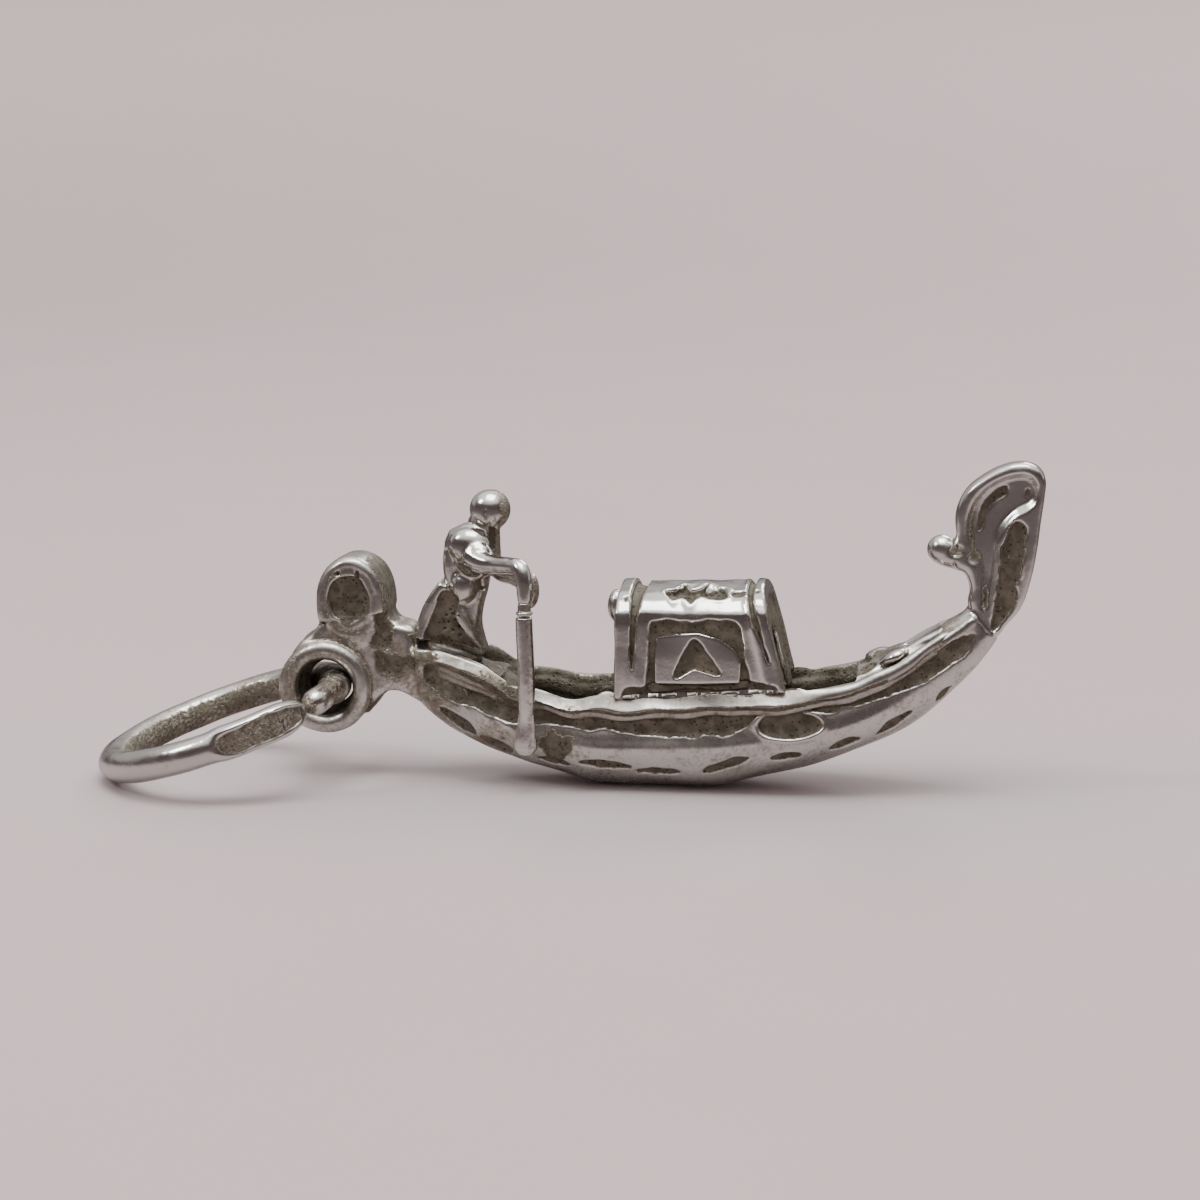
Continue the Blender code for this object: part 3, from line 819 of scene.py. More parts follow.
class Finish(Enum):
    """The charm's silver finishes."""

    POLISHED = SilverFinish("silver_polished", "polished_silver")
    WORN = SilverFinish("silver_worn", "worn_silver", bright=rgb(0.75, 0.73, 0.69),
                        reach=0.56, polish=0.24, matt=0.58)
    SATIN = SilverFinish("silver_satin", "polished_silver", bright=rgb(0.54, 0.515, 0.48),
                         reach=0.48, polish=0.30)
    OXIDISED = SilverFinish("silver_oxidised", "oxidised_silver", reach=0.95, polish=0.3,
                            matt=0.62)
    WIRE = SilverFinish("silver_wire", "ring_silver", bright=rgb(0.78, 0.765, 0.73),
                        reach=0.50, polish=0.17)


# ---------------------------------------------------------------------------
# The charm
# ---------------------------------------------------------------------------


@dataclass
class Piece:
    """A finished piece and what it belongs to."""

    obj: bpy.types.Object
    finish: Finish
    node: str
    wear: Wear
    body: str
    kin: str


@dataclass
class Charm:
    """Keeps the charm's finished pieces and its finishes."""

    materials: dict[Finish, bpy.types.Material] = field(default_factory=dict)
    pieces: list[Piece] = field(default_factory=list)
    joint_reach: float = 0.20
    joint_tarnish: float = 0.8

    def prepare(self) -> None:
        """Builds every finish once."""
        patina = patina_group()
        for finish in Finish:
            self.materials[finish] = finish.value.build(patina)

    def finish(self, obj: bpy.types.Object, finish: Finish, node: str,
               wear: Wear = Wear(), body: str = "boat", kin: str = "") -> None:
        """Weathers a piece and dresses it.

        Args:
            obj: The shaped piece, still at shaping size.
            finish: Its silver finish.
            node: The frame node that it stands for.
            wear: How tarnish gathers on it.
            body: The frame body that it rides on.
            kin: The casting that it was cut from, if its tarnish is worked out already.
        """
        if not kin:
            weather(obj, wear)
        obj.data.materials.clear()
        obj.data.materials.append(self.materials[finish])
        only(obj)
        bpy.ops.object.shade_smooth_by_angle(angle=CREASE)
        self.pieces.append(Piece(obj, finish, node, wear, body, kin or obj.name))
        log.info("%s: %d points", obj.name, len(obj.data.vertices))

    def darken_joints(self) -> None:
        """Lets tarnish settle where a piece comes close to its neighbours."""
        reach = self.joint_reach
        skins = [read_skin(piece.obj)[0] for piece in self.pieces]
        trees = [BVHTree.FromPolygons(spots.tolist(), [tuple(face.vertices)
                                                       for face in piece.obj.data.polygons])
                 for spots, piece in zip(skins, self.pieces)]
        for piece, spots in zip(self.pieces, skins):
            near = np.full(len(spots), reach)
            for other, other_spots, tree in zip(self.pieces, skins, trees):
                if other.kin == piece.kin or other.body != piece.body:
                    continue
                close = np.all((spots > other_spots.min(0) - reach)
                               & (spots < other_spots.max(0) + reach), axis=1)
                for index in np.flatnonzero(close):
                    distance = tree.find_nearest(spots[index], reach)[3]
                    if distance is not None and distance < near[index]:
                        near[index] = distance
            crease = smooth_step(reach, 0.02, near) * self.joint_tarnish * piece.wear.joint
            crease = spread(piece.obj, crease, 3)
            set_mask(piece.obj, "tarnish", get_mask(piece.obj, "tarnish") + crease)

    def deliver(self) -> None:
        """Brings every piece down to real size and ties it to the frame."""
        for piece in self.pieces:
            piece.obj.scale = (MM, MM, MM)
            apply_place(piece.obj)
            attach(piece.obj, piece.body)
            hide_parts(piece.node)


# ---------------------------------------------------------------------------
# Hull and rails
# ---------------------------------------------------------------------------

# Rails and decks give way to the boat's own casting beyond these two places.
BOW_END = 8.95
STERN_END = -6.55
# There they run on for END_OVERLAP inside the casting, thinned by END_DEPTH.
END_OVERLAP = 0.7
END_DEPTH = 0.15


@dataclass
class Hull:
    """The hull with its sunk band, side oval and the row of strokes over the keel."""

    band_depth: float = 0.11
    stroke_depth: float = 0.10
    oval_at: Flat = (4.52, 2.33)
    oval_half: Flat = (0.98, 0.39)
    well_low: Point = (-5.2, -1.55, 1.2)
    well_high: Point = (7.4, 1.55, 4.6)
    band_top: Sequence[Flat] = ((-6.9, 3.80), (-6.0, 3.44), (-5.0, 3.16), (-4.0, 2.96),
                                (-2.6, 2.80), (-1.5, 2.72), (0.5, 2.80), (2.2, 2.98),
                                (3.1, 2.94), (4.1, 3.02), (5.5, 3.30), (6.8, 3.60),
                                (8.05, 4.08), (9.0, 4.62), (9.8, 5.04), (10.12, 5.10))
    band_low: Sequence[Flat] = ((10.08, 4.88), (9.9, 4.60), (9.28, 4.11), (8.3, 3.56), (7.5, 3.30),
                                (6.5, 3.00), (5.4, 2.78), (4.0, 2.74), (3.4, 2.55), (3.05, 2.16),
                                (2.3, 1.99), (1.5, 1.94), (0.5, 1.93), (-0.5, 1.98), (-1.55, 2.06),
                                (-2.6, 2.15), (-4.0, 2.16), (-5.3, 2.50), (-6.6, 3.00),
                                (-7.0, 3.3))
    strokes: Sequence[tuple[Flat, Flat, float]] = (
        ((-1.98, 0.93), (-0.40, 0.82), 0.20), ((-0.18, 0.68), (1.14, 0.68), 0.17),
                         ((1.86, 0.72), (3.27, 1.25), 0.26), ((4.00, 1.26), (4.85, 1.36), 0.16),
                         ((5.77, 1.56), (6.68, 1.90), 0.18), ((7.18, 2.00), (8.21, 2.70), 0.20),
                         ((8.98, 2.98), (9.42, 3.48), 0.15), ((-3.35, 0.98), (-2.35, 0.80), 0.14),
                         ((-6.5, 2.35), (-5.35, 1.62), 0.34), ((-5.2, 1.55), (-4.2, 1.10), 0.24))

    def parts(self) -> list[bpy.types.Object]:
        """What the hull adds to the boat's casting."""
        return [from_node("hull", "hull_core")]

    def marks(self) -> list[Mark]:
        """The marks on both sides of the hull."""
        band = list(self.band_top) + list(self.band_low)
        made = [Mark(band, self.band_depth, slope=0.14, wobble=0.06, grain=0.022, round_turns=3),
                Mark(oval(self.oval_at, self.oval_half, 2.0), 0.10, slope=0.10, lip=0.05,
                     grain=0.02, dark=0.95, wobble=0.02),
                Mark(oval((-2.75, 1.45), (0.5, 0.42), 70.0), 0.03, slope=0.2, wobble=0.12,
                     grain=0.03, dark=0.85),
                Mark(oval((-5.6, 2.75), (1.5, 0.22), -28.0), -0.07, slope=0.3, wobble=0.06,
                     dark=0.0, grain=0.02)]
        for start, end, width in self.strokes:
            made.append(Mark(capsule(start, end, width, 0.03), self.stroke_depth, slope=0.09,
                             wobble=0.025, grain=0.01, facing=0.12))
        return made

    def well_shade(self, obj: bpy.types.Object) -> np.ndarray:
        """Tarnish inside the cockpit well, where no cloth reaches.

        Args:
            obj: The boat's casting.

        Returns:
            One number a point.
        """
        spots, facing = read_skin(obj)
        inner = (np.sign(facing[:, 1]) != np.sign(spots[:, 1])) | (facing[:, 2] > 0.6)
        core = np.all((spots > self.well_low) & (spots < self.well_high), axis=1)
        return np.where(inner & core, 0.6, 0.0)


def dive(obj: bpy.types.Object) -> None:
    """Thins a rail or deck towards its ends, which sink into the boat's casting.

    Args:
        obj: The piece, whose farthest ends are cut away.
    """
    spots, facing = read_skin(obj)
    x = spots[:, 0]
    sunk = END_DEPTH * (smooth_step(BOW_END + 0.05, BOW_END + 0.6, x)
                        + smooth_step(STERN_END - 0.05, STERN_END - 0.6, x))
    write_spots(obj, spots - facing * sunk[:, None])
    for place, way in ((BOW_END + END_OVERLAP, 1), (STERN_END - END_OVERLAP, -1)):
        if x.min() < place < x.max():
            bpy.data.objects.remove(split(obj, "spare", (place, 0, 0), (way, 0, 0)))


@dataclass
class Rails:
    """The gunwale rails, bright on top."""

    grain: float = 0.045
    soften: int = 14
    half_width: float = 0.25
    half_height: float = 0.22
    stretch: float = 0.25

    def build(self, charm: Charm) -> None:
        """Shapes both rails.

        Args:
            charm: The charm that they belong to.
        """
        for side, sign, seed in (("starboard", -1, 11), ("port", 1, 12)):
            node = "gunwale_" + side
            skirt = from_node(node, node + "_skirt")
            skirt.location = (0.0, -0.15 * sign, -0.24)
            apply_place(skirt)
            parts = [from_node(node, node + "_core"), skirt]
            parts += [rod("sill", [(-0.95, sign * 1.88, 2.93), (0.0, sign * 1.90, 2.96),
                                   (1.5, sign * 1.90, 3.05), (3.0, sign * 1.90, 3.16),
                                   (4.4, sign * 1.85, 3.28)], [0.10, 0.14, 0.14, 0.14, 0.10]),
                      stern_ridge(sign)]
            parts += [pebble("aft_foot", (-1.05, sign * 1.76, 2.90), (0.42, 0.20, 0.24), (0, -10, 0)),
                      pebble("fore_foot", (4.65, sign * 1.70, 3.26), (0.55, 0.20, 0.24), (0, 6, 0))]
            obj = skin(melt(node + "_casting", parts), self.grain, self.soften)
            dive(obj)
            under = self.slope(obj)
            lumps(obj, 0.040, 0.8, seed)
            set_mask(obj, "mark", np.maximum(self.film(obj), under))
            charm.finish(obj, Finish.SATIN, node, Wear(base=0.05, hollow=0.5, joint=0.30))

    def slope(self, obj: bpy.types.Object) -> np.ndarray:
        """Turns a rail's outer face into one soft ledge that slopes outwards.

        Args:
            obj: The rail.

        Returns:
            Darkening under the ledge, one number a point.
        """
        spots, _ = read_skin(obj)
        x, y, z = spots.T
        side = np.sign(y)
        slots = ((x - x.min()) / self.stretch).astype(int)
        outer = np.full(slots.max() + 1, -np.inf)
        top = outer.copy()
        np.maximum.at(outer, slots, np.abs(y))
        np.maximum.at(top, slots, z)
        places = x.min() + self.stretch * (np.arange(len(outer)) + 0.5)
        held = np.isfinite(outer) & ((places < -1.6) | ((places > -0.4) & (places < 3.9))
                                     | (places > 5.4))
        outer_here = np.interp(x, places[held], outer[held])
        top_here = np.interp(x, places[held], top[held])
        u = (np.abs(y) - (outer_here - self.half_width)) / self.half_width
        v = (z - (top_here - self.half_height)) / self.half_height
        over = np.maximum(0.84 * u + 0.54 * v - 0.48, 0.0)
        over *= 1.0 - 0.75 * smooth_step(4.6, 6.6, x)
        spots[:, 1] -= side * 0.84 * over * self.half_width
        spots[:, 2] -= 0.54 * over * self.half_height
        inner = smooth_step(0.1, -0.8, u)
        spots[:, 1] += side * 0.07 * inner * ripple(spots, 0.9, 27)
        spots[:, 2] += 0.05 * ripple(spots[:, :1], 1.6, 28)
        write_spots(obj, spots)
        return smooth_step(-0.40, -0.62, v) * smooth_step(0.4, 0.75, u) * (x < 7.5)

    def film(self, obj: bpy.types.Object) -> np.ndarray:
        """The dull film of the stern, and tarnish on the rail's inner side.

        Args:
            obj: The rail.

        Returns:
            One number a point.
        """
        spots, facing = read_skin(obj)
        x = spots[:, 0]
        inner = smooth_step(-0.05, 0.5, -facing[:, 1] * np.sign(spots[:, 1]))
        aft = smooth_step(-3.2, -5.2, x) * (0.14 + 0.14 * ripple(spots, 1.0, 18))
        aft += 0.55 * np.exp(-(((x + 4.15) / 0.45) ** 2))
        low = 0.12 - 0.06 * smooth_step(4.8, 6.4, x) + 0.10 * ripple(spots, 0.8, 19)
        return 0.72 * inner + np.clip(aft, 0.0, 1.0) + np.clip(low, 0.0, 1.0)


def stern_ridge(side: int) -> bpy.types.Object:
    """The thick crest of one rail beside the rower, which runs into the stern."""
    return rod("stern_ridge", [(-7.5, side * 0.86, 3.98), (-6.9, side * 1.00, 3.98),
                               (-6.15, side * 1.24, 3.86), (-5.2, side * 1.50, 3.58),
                               (-4.4, side * 1.66, 3.24)], [0.20, 0.26, 0.29, 0.31, 0.22])


def bow_ridges() -> list[bpy.types.Object]:
    """The two ridges that run up the foredeck to the bow iron."""
    return [rod("bow_ridge", [(7.75, side * 0.62, 4.34), (8.4, side * 0.56, 4.70),
                              (9.1, side * 0.46, 5.10), (9.75, side * 0.37, 5.50),
                              (10.3, side * 0.28, 5.82)], [0.12, 0.17, 0.18, 0.17, 0.14])
            for side in (-1, 1)]


@dataclass
class Decks:
    """Foredeck, its hood over the cockpit, and the stern deck."""

    grain: float = 0.045
    hood_joint: Point = (7.96, 0.0, 4.5)

    def build(self, charm: Charm) -> None:
        """Shapes the decks.

        Args:
            charm: The charm that they belong to.
        """
        parts = [from_node("foredeck", "foredeck_core"), from_node("foredeck_coaming", "hood_core"),
                 pebble("hood_bump", (7.62, -0.80, 4.36), (0.50, 0.45, 0.24), (0, -28, 0)),
                 pebble("hood_lump", (7.1, 0.6, 4.12), (0.45, 0.55, 0.22), (0, -22, 0))]
        parts += bow_ridges()
        fore = skin(melt("foredeck_casting", parts), self.grain, 9)
        dive(fore)
        lumps(fore, 0.035, 0.5, 21)
        press_marks(fore, [
            Mark(oval((6.76, -0.84), (0.30, 0.30)), 0.12, slope=0.14, dark=1.1, view=View.TOP,
                 side=1, facing=0.2),
            Mark(oval((0.0, 3.70), (1.3, 0.42)), 0.10, slope=0.14, dark=1.0, view=View.END,
                 side=-1, facing=0.3),
            Mark(((8.0, -0.2), (8.0, 0.2), (9.4, 0.1), (9.4, -0.1)), 0.05, slope=0.14, dark=0.6,
                 view=View.TOP, side=1, facing=0.2),
            Mark(oval((7.35, 0.0), (0.4, 0.25)), 0.04, slope=0.2, dark=0.7, view=View.TOP,
                 side=1, facing=0.2, wobble=0.1)], 24)
        weather(fore, Wear(base=0.12, hollow=0.8))
        hood = split(fore, "coaming_casting", self.hood_joint, AFT)
        for piece, node in ((fore, "foredeck"), (hood, "foredeck_coaming")):
            charm.finish(piece, Finish.POLISHED, node, Wear(joint=0.3), kin="foredeck")
        stern = skin(melt("stern_deck_casting", [
            from_node("stern_deck", "stern_core"),
            pebble("stern_fall", (-4.85, 0.0, 3.12), (0.85, 1.15, 0.34), (0, 22, 0))]),
            self.grain, 16)
        dive(stern)
        lumps(stern, 0.06, 0.6, 23)
        charm.finish(stern, Finish.WORN, "stern_deck", Wear(base=0.72, hollow=0.8, joint=0.6))


# ---------------------------------------------------------------------------
# Cabin
# ---------------------------------------------------------------------------


@dataclass
class Cabin:
    """The vaulted cabin between two hoops, with a plaque on each side."""

    grain: float = 0.042
    frame_depth: float = 0.13
    middle: float = 1.75
    bridge_stretch: float = 1.06
    aft_joint: Point = (-0.29, 0.0, 4.0)
    fore_joint: Point = (3.03, 0.0, 6.45)
    fore_normal: Point = (0.979, 0.0, 0.203)
    frame_outline: Sequence[Flat] = ((0.18, 3.30), (0.18, 4.4), (0.20, 5.30), (0.45, 5.50),
                                     (1.6, 5.52), (2.6, 5.58), (2.98, 5.38), (3.05, 4.9),
                                     (3.16, 4.2), (3.20, 3.40), (1.6, 3.36))
    foot_groove: Sequence[Flat] = ((-0.66, 3.14), (-0.45, 3.36), (0.0, 3.40), (0.35, 3.52),
                                   (1.2, 3.50), (2.6, 3.58), (3.2, 3.70), (3.6, 3.62),
                                   (4.05, 3.58), (4.16, 3.42), (4.10, 2.90), (3.0, 2.80),
                                   (1.6, 2.70), (0.2, 2.62), (-0.5, 2.66))
    plaque: Sequence[Flat] = ((0.38, 3.55), (1.65, 3.57), (3.00, 3.64), (3.03, 4.28),
                              (2.86, 4.66), (2.40, 4.98), (1.70, 5.18), (1.05, 5.12),
                              (0.42, 5.02), (0.37, 4.2))
    triangle: Sequence[Flat] = ((1.60, 4.98), (1.82, 4.80), (2.10, 4.38), (2.40, 3.98),
                                (2.28, 3.86), (1.95, 3.95), (1.60, 4.02), (1.30, 3.86),
                                (1.05, 3.74), (0.98, 3.90), (1.16, 4.36), (1.40, 4.80))
    star: Sequence[Flat] = ((0.60, -1.02), (0.98, -0.80), (1.10, -0.20), (1.38, -0.60),
                            (1.84, -0.26), (1.88, -0.72), (2.40, -0.84), (2.50, -1.30),
                            (2.00, -1.38), (1.72, -1.20), (1.46, -1.58), (1.14, -1.36),
                            (0.84, -1.46))

    def build(self, charm: Charm) -> None:
        """Shapes the cabin.

        Args:
            charm: The charm that it belongs to.
        """
        self.vault(charm)
        self.plaques(charm)
        self.walls(charm)

    def vault(self, charm: Charm) -> None:
        """The vault and its hoops in one skin: sunk side frames, a star on the roof."""
        parts = [from_node("cabin_canopy", "canopy_core"), from_node("cabin_hoop_aft", "aft_core"),
                 from_node("cabin_hoop_fore", "fore_core")]
        for end, shift in (("aft", -0.10), ("fore", 0.24)):
            wall = from_node(f"cabin_{end}_wall", end + "_wall_core")
            wall.location.x = shift
            apply_place(wall)
            parts.append(wall)
        bridge = from_node("cabin_canopy", "canopy_bridge")
        bridge.scale.x = self.bridge_stretch
        bridge.location.x = (1.0 - self.bridge_stretch) * self.middle
        apply_place(bridge)
        parts.append(bridge)
        obj = skin(melt("cabin_canopy_casting", parts), self.grain, 36)
        lumps(obj, 0.022, 0.9, 31)
        dimples = [Mark(oval((x, y), (0.11, 0.11)), 0.07, slope=0.08, view=View.TOP, side=1,
                        dark=0.6, facing=0.2, wobble=0.0)
                   for x, y in ((-0.55, -1.49), (3.42, -1.15))]
        press_marks(obj, self.slits() + dimples + [
            Mark(self.frame_outline, self.frame_depth, slope=0.10, wobble=0.03, grain=0.01,
                 facing=0.35),
            Mark(self.foot_groove, 0.16, slope=0.10, wobble=0.03, grain=0.01, facing=0.3),
            Mark(self.star, 0.16, slope=0.09, wobble=0.04, grain=0.02, view=View.TOP, side=1,
                 lip=0.03, facing=0.15, dark=1.3),
            Mark(oval((2.92, -1.16), (0.26, 0.16), 10), 0.08, slope=0.08, view=View.TOP, side=1,
                 dark=0.9, facing=0.15),
        ], 33)
        spots, facing = read_skin(obj)
        ends = smooth_step(0.55, 0.85, np.abs(facing[:, 0])) * smooth_step(6.3, 5.9, spots[:, 2])
        set_mask(obj, "mark", np.maximum(get_mask(obj, "mark"), 0.75 * ends))
        weather(obj, Wear(base=-0.04, hollow=0.6))
        fore = split(obj, "cabin_hoop_fore_casting", self.fore_joint, self.fore_normal)
        aft = split(obj, "cabin_hoop_aft_casting", self.aft_joint, AFT)
        for piece, node in ((obj, "cabin_canopy"), (fore, "cabin_hoop_fore"),
                            (aft, "cabin_hoop_aft")):
            charm.finish(piece, Finish.POLISHED, node, Wear(joint=0.3), kin="vault")

    def slits(self) -> list[Mark]:
        """The tapering grooves between the vault and its hoops."""
        aft = ((-0.44, 6.7), (-0.06, 6.7), (-0.12, 6.1), (-0.20, 5.4), (-0.28, 4.6), (-0.33, 4.0),
               (-0.38, 4.6), (-0.38, 5.4), (-0.42, 6.1))
        fore = ((3.08, 6.8), (3.26, 6.8), (3.38, 6.1), (3.60, 5.3), (3.88, 4.3), (3.72, 4.7),
                (3.42, 5.4), (3.22, 6.0))
        return [Mark(shape, 0.19, slope=0.12, wobble=0.02, dark=1.15, facing=-1.0,
                     round_turns=4) for shape in (aft, fore)]

    def plaques(self, charm: Charm) -> None:
        """The raised plaque in each side frame, with its sunk triangle."""
        for side, sign in (("starboard", -1), ("port", 1)):
            node = "cabin_panel_" + side
            low, high = node_box(node)
            face = low.y if sign < 0 else high.y
            back = face - sign * 0.32
            plate = slab(node + "_casting", self.plaque, min(face, back), max(face, back),
                         edge=0.05)
            obj = skin(plate, 0.032, 7)
            self.crown(obj, sign)
            press_marks(obj, [Mark(self.triangle, 0.09, slope=0.08, wobble=0.02, grain=0.008,
                                   facing=0.5)], 35)
            charm.finish(obj, Finish.POLISHED, node, Wear(base=-0.04, hollow=0.6, joint=0.5))

    def crown(self, obj: bpy.types.Object, sign: int) -> None:
        """Gives a plaque two sloping faces, which meet in a ridge over the triangle.

        Args:
            obj: The plaque.
            sign: The boat's side, -1 to starboard.
        """
        spots, facing = read_skin(obj)
        face = smooth_step(0.3, 0.7, facing[:, 1] * sign)
        away = np.abs(spots[:, 0] - 1.62)
        fall = 0.07 * smooth_step(4.3, 5.2, spots[:, 2]) * smooth_step(0.1, 1.2, away)
        spots[:, 1] -= sign * face * fall
        write_spots(obj, spots)

    def walls(self, charm: Charm) -> None:
        """The dark end walls and the knob on the aft one."""
        for end, seed in (("aft", 45), ("fore", 46)):
            node = f"cabin_{end}_wall"
            obj = skin(from_node(node, node + "_casting"), self.grain, 6)
            lumps(obj, 0.03, 0.5, seed)
            charm.finish(obj, Finish.OXIDISED, node)
        knob = skin(from_node("cabin_knob", "cabin_knob_casting"), 0.035, 5)
        charm.finish(knob, Finish.POLISHED, "cabin_knob", Wear(hollow=0.6, joint=0.6))


# ---------------------------------------------------------------------------
# Bow iron
# ---------------------------------------------------------------------------


@dataclass
class BowIron:
    """The bow iron: a raised rim, a comma-shaped hollow with a slit, and a dark slot."""

    spur_cut: Point = (9.42, 0.0, 7.5)
    comma: Sequence[Flat] = ((9.80, 8.33), (9.92, 8.98), (10.22, 9.47), (10.62, 9.78),
                             (11.05, 9.95), (11.55, 10.0), (11.84, 9.74), (11.87, 9.36),
                             (11.66, 9.10), (11.28, 8.88), (10.90, 8.48), (10.70, 8.01),
                             (10.62, 7.30), (10.58, 6.80), (10.48, 6.30), (10.38, 5.98),
                             (10.30, 6.30), (10.24, 6.75), (10.14, 7.20), (9.88, 7.46),
                             (9.84, 7.80))
    slit: Sequence[Flat] = ((10.92, 9.66), (10.52, 9.44), (10.22, 9.02), (10.10, 8.36),
                            (10.24, 8.40), (10.40, 8.90), (10.66, 9.24), (10.96, 9.44))
    slot: Sequence[Flat] = ((11.16, 8.46), (11.36, 8.58), (11.60, 8.40), (11.58, 7.90),
                            (11.50, 7.30), (11.40, 6.90), (11.24, 6.62), (11.36, 6.30),
                            (11.18, 5.80), (10.96, 5.50), (10.66, 5.22), (10.64, 5.60),
                            (10.72, 6.30), (10.80, 7.10), (10.92, 7.90))
    inner: Sequence[Flat] = ((11.50, 8.15), (11.56, 8.10), (11.58, 7.60), (11.50, 7.00),
                             (11.40, 6.85), (11.38, 6.95), (11.46, 7.50))

    def parts(self) -> list[bpy.types.Object]:
        """What the bow iron adds to the boat's casting."""
        low, high = node_box("ferro_spur")
        middle = (low + high) / 2
        return [from_node("ferro_blade", "ferro_core"),
                pebble("spur_knob", (low.x + 0.48, 0.0, middle.z + 0.06), (0.48, 0.46, 0.47)),
                rod("spur_neck", [(low.x + 0.50, 0.0, middle.z - 0.06), (9.5, 0.0, middle.z - 0.10),
                                  (10.0, 0.0, middle.z - 0.14)], [0.42, 0.45, 0.56])]

    def marks(self) -> list[Mark]:
        """The marks on both sides of the bow iron."""
        return [
            Mark(self.comma, 0.22, slope=0.34, dark=0.14, wobble=0.01, facing=0.3),
            Mark(oval((9.50, 7.64), (0.20, 0.15)), 0.06, slope=0.24, dark=0.5, facing=0.2),
            # Painted shade: two flat dark patches without depth dull the highlights at the ends of
            # the comma's hollow.
            Mark(oval((10.40, 6.18), (0.16, 0.40)), 0.0, slope=0.2, dark=0.62, facing=0.3),
            Mark(oval((10.06, 7.46), (0.26, 0.20)), 0.0, slope=0.2, dark=0.55, facing=0.3),
            Mark(self.slot, 0.17, slope=0.12, wobble=0.03, grain=0.01, facing=0.35),
            Mark(self.slit, 0.10, slope=0.14, wobble=0.01, dark=0.9, facing=0.3),
            Mark(self.inner, -0.07, slope=0.08, dark=0.0, facing=0.35),
            Mark(oval((11.58, 9.46), (0.07, 0.12)), 0.05, slope=0.08, dark=0.5, facing=0.35)]


# ---------------------------------------------------------------------------
# Stern
# ---------------------------------------------------------------------------


@dataclass
class Stern:
    """The eye for the ring, the scroll above it and the post behind the hull."""

    scroll_at: Flat = (-9.44, 5.72)
    scroll_half: Flat = (0.98, 1.28)
    scroll_reach: float = 0.93
    rims: Sequence[tuple[float, float, float]] = ((-0.80, 1.19, 0.31), (0.80, 1.19, 0.31),
                                                  (0.12, 1.06, 0.35))

    def parts(self) -> list[bpy.types.Object]:
        """What the stern adds to the boat's casting."""
        made = [from_node("stern_scroll", "scroll_core"), from_node("stern_post", "post_core"),
                from_node("stern_eye", "eye_core")]
        x, z = self.scroll_at
        wide, tall = self.scroll_half
        made.append(slab("scroll_disc", [(x + wide * math.cos(a), z - 0.12 + tall * math.sin(a))
                                         for a in np.linspace(0, math.tau, 32, endpoint=False)],
                         -self.scroll_reach, self.scroll_reach, edge=0.26))
        made.append(pebble("bridge", (-9.2, 0.0, 4.6), (0.95, 0.94, 0.9)))
        made.append(pebble("cheek", (-8.3, 0.0, 4.0), (1.0, 0.88, 0.95), (0, -20, 0)))
        made.append(pebble("heel", (-7.5, 0.0, 3.75), (1.0, 0.80, 0.62), (0, 24, 0)))
        axis = self.eye_axis()
        for y, reach, wire in self.rims:
            only_nothing()
            bpy.ops.mesh.primitive_torus_add(
                major_radius=reach, minor_radius=wire, major_segments=64, minor_segments=16,
                location=(axis[0], y, axis[2]), rotation=(math.pi / 2, 0, 0))
            made.append(bpy.context.object)
            apply_place(made[-1])
        return made

    def marks(self) -> list[Mark]:
        """The marks on both sides of the stern."""
        x, z = self.scroll_at
        return [
            Mark(oval((x, z), (0.86, 1.10), 0), 0.05, slope=0.20, dark=0.12, facing=0.4),
            Mark(oval((x - 0.02, z), (0.60, 0.74), 8), 0.11, slope=0.12, dark=0.8, wobble=0.05,
                 grain=0.035, facing=0.4, lip=0.03),
            Mark(oval((-9.80, 6.56), (0.08, 0.06)), 0.10, slope=0.06, wobble=0.0, facing=0.3),
            Mark(oval((-9.18, 6.52), (0.06, 0.14)), 0.12, slope=0.06, wobble=0.0, facing=0.3),
            Mark(oval((-8.40, 4.72), (0.34, 0.52), 0), 0.07, slope=0.16, dark=0.95, wobble=0.12,
                 grain=0.04, facing=0.3),
            Mark(oval((-8.05, 3.75), (0.60, 0.40), -20), 0.05, slope=0.2, dark=0.6, wobble=0.14,
                 grain=0.03, facing=0.3),
            Mark(oval((-7.2, 4.35), (0.5, 0.22), -35), 0.05, slope=0.2, dark=0.6, wobble=0.12,
                 grain=0.03, facing=0.3)]

    def eye_axis(self) -> np.ndarray:
        """The middle of the eye, which the ring swings about."""
        return np.array(frame_joint("ring_swing")["pos_m"]) * SHAPING

    def bore_shade(self, obj: bpy.types.Object) -> np.ndarray:
        """Tarnish inside the eye's bore, and painted shade on the faces that look towards the boat.

        Args:
            obj: The boat's casting.

        Returns:
            One number a point.
        """
        spots, facing = read_skin(obj)
        axis = self.eye_axis()
        away = np.hypot(spots[:, 0] - axis[0], spots[:, 2] - axis[2])
        bore = 0.95 * smooth_step(1.12, 1.0, away) * smooth_step(0.95, 0.6, np.abs(spots[:, 1]))
        # Painted shade: the stern's faces that look fore, towards the boat, are darkened.
        fore = 0.7 * smooth_step(0.35, 0.8, facing[:, 0]) * (spots[:, 0] < -7.4) * (away > 1.5)
        return np.maximum(bore, fore)


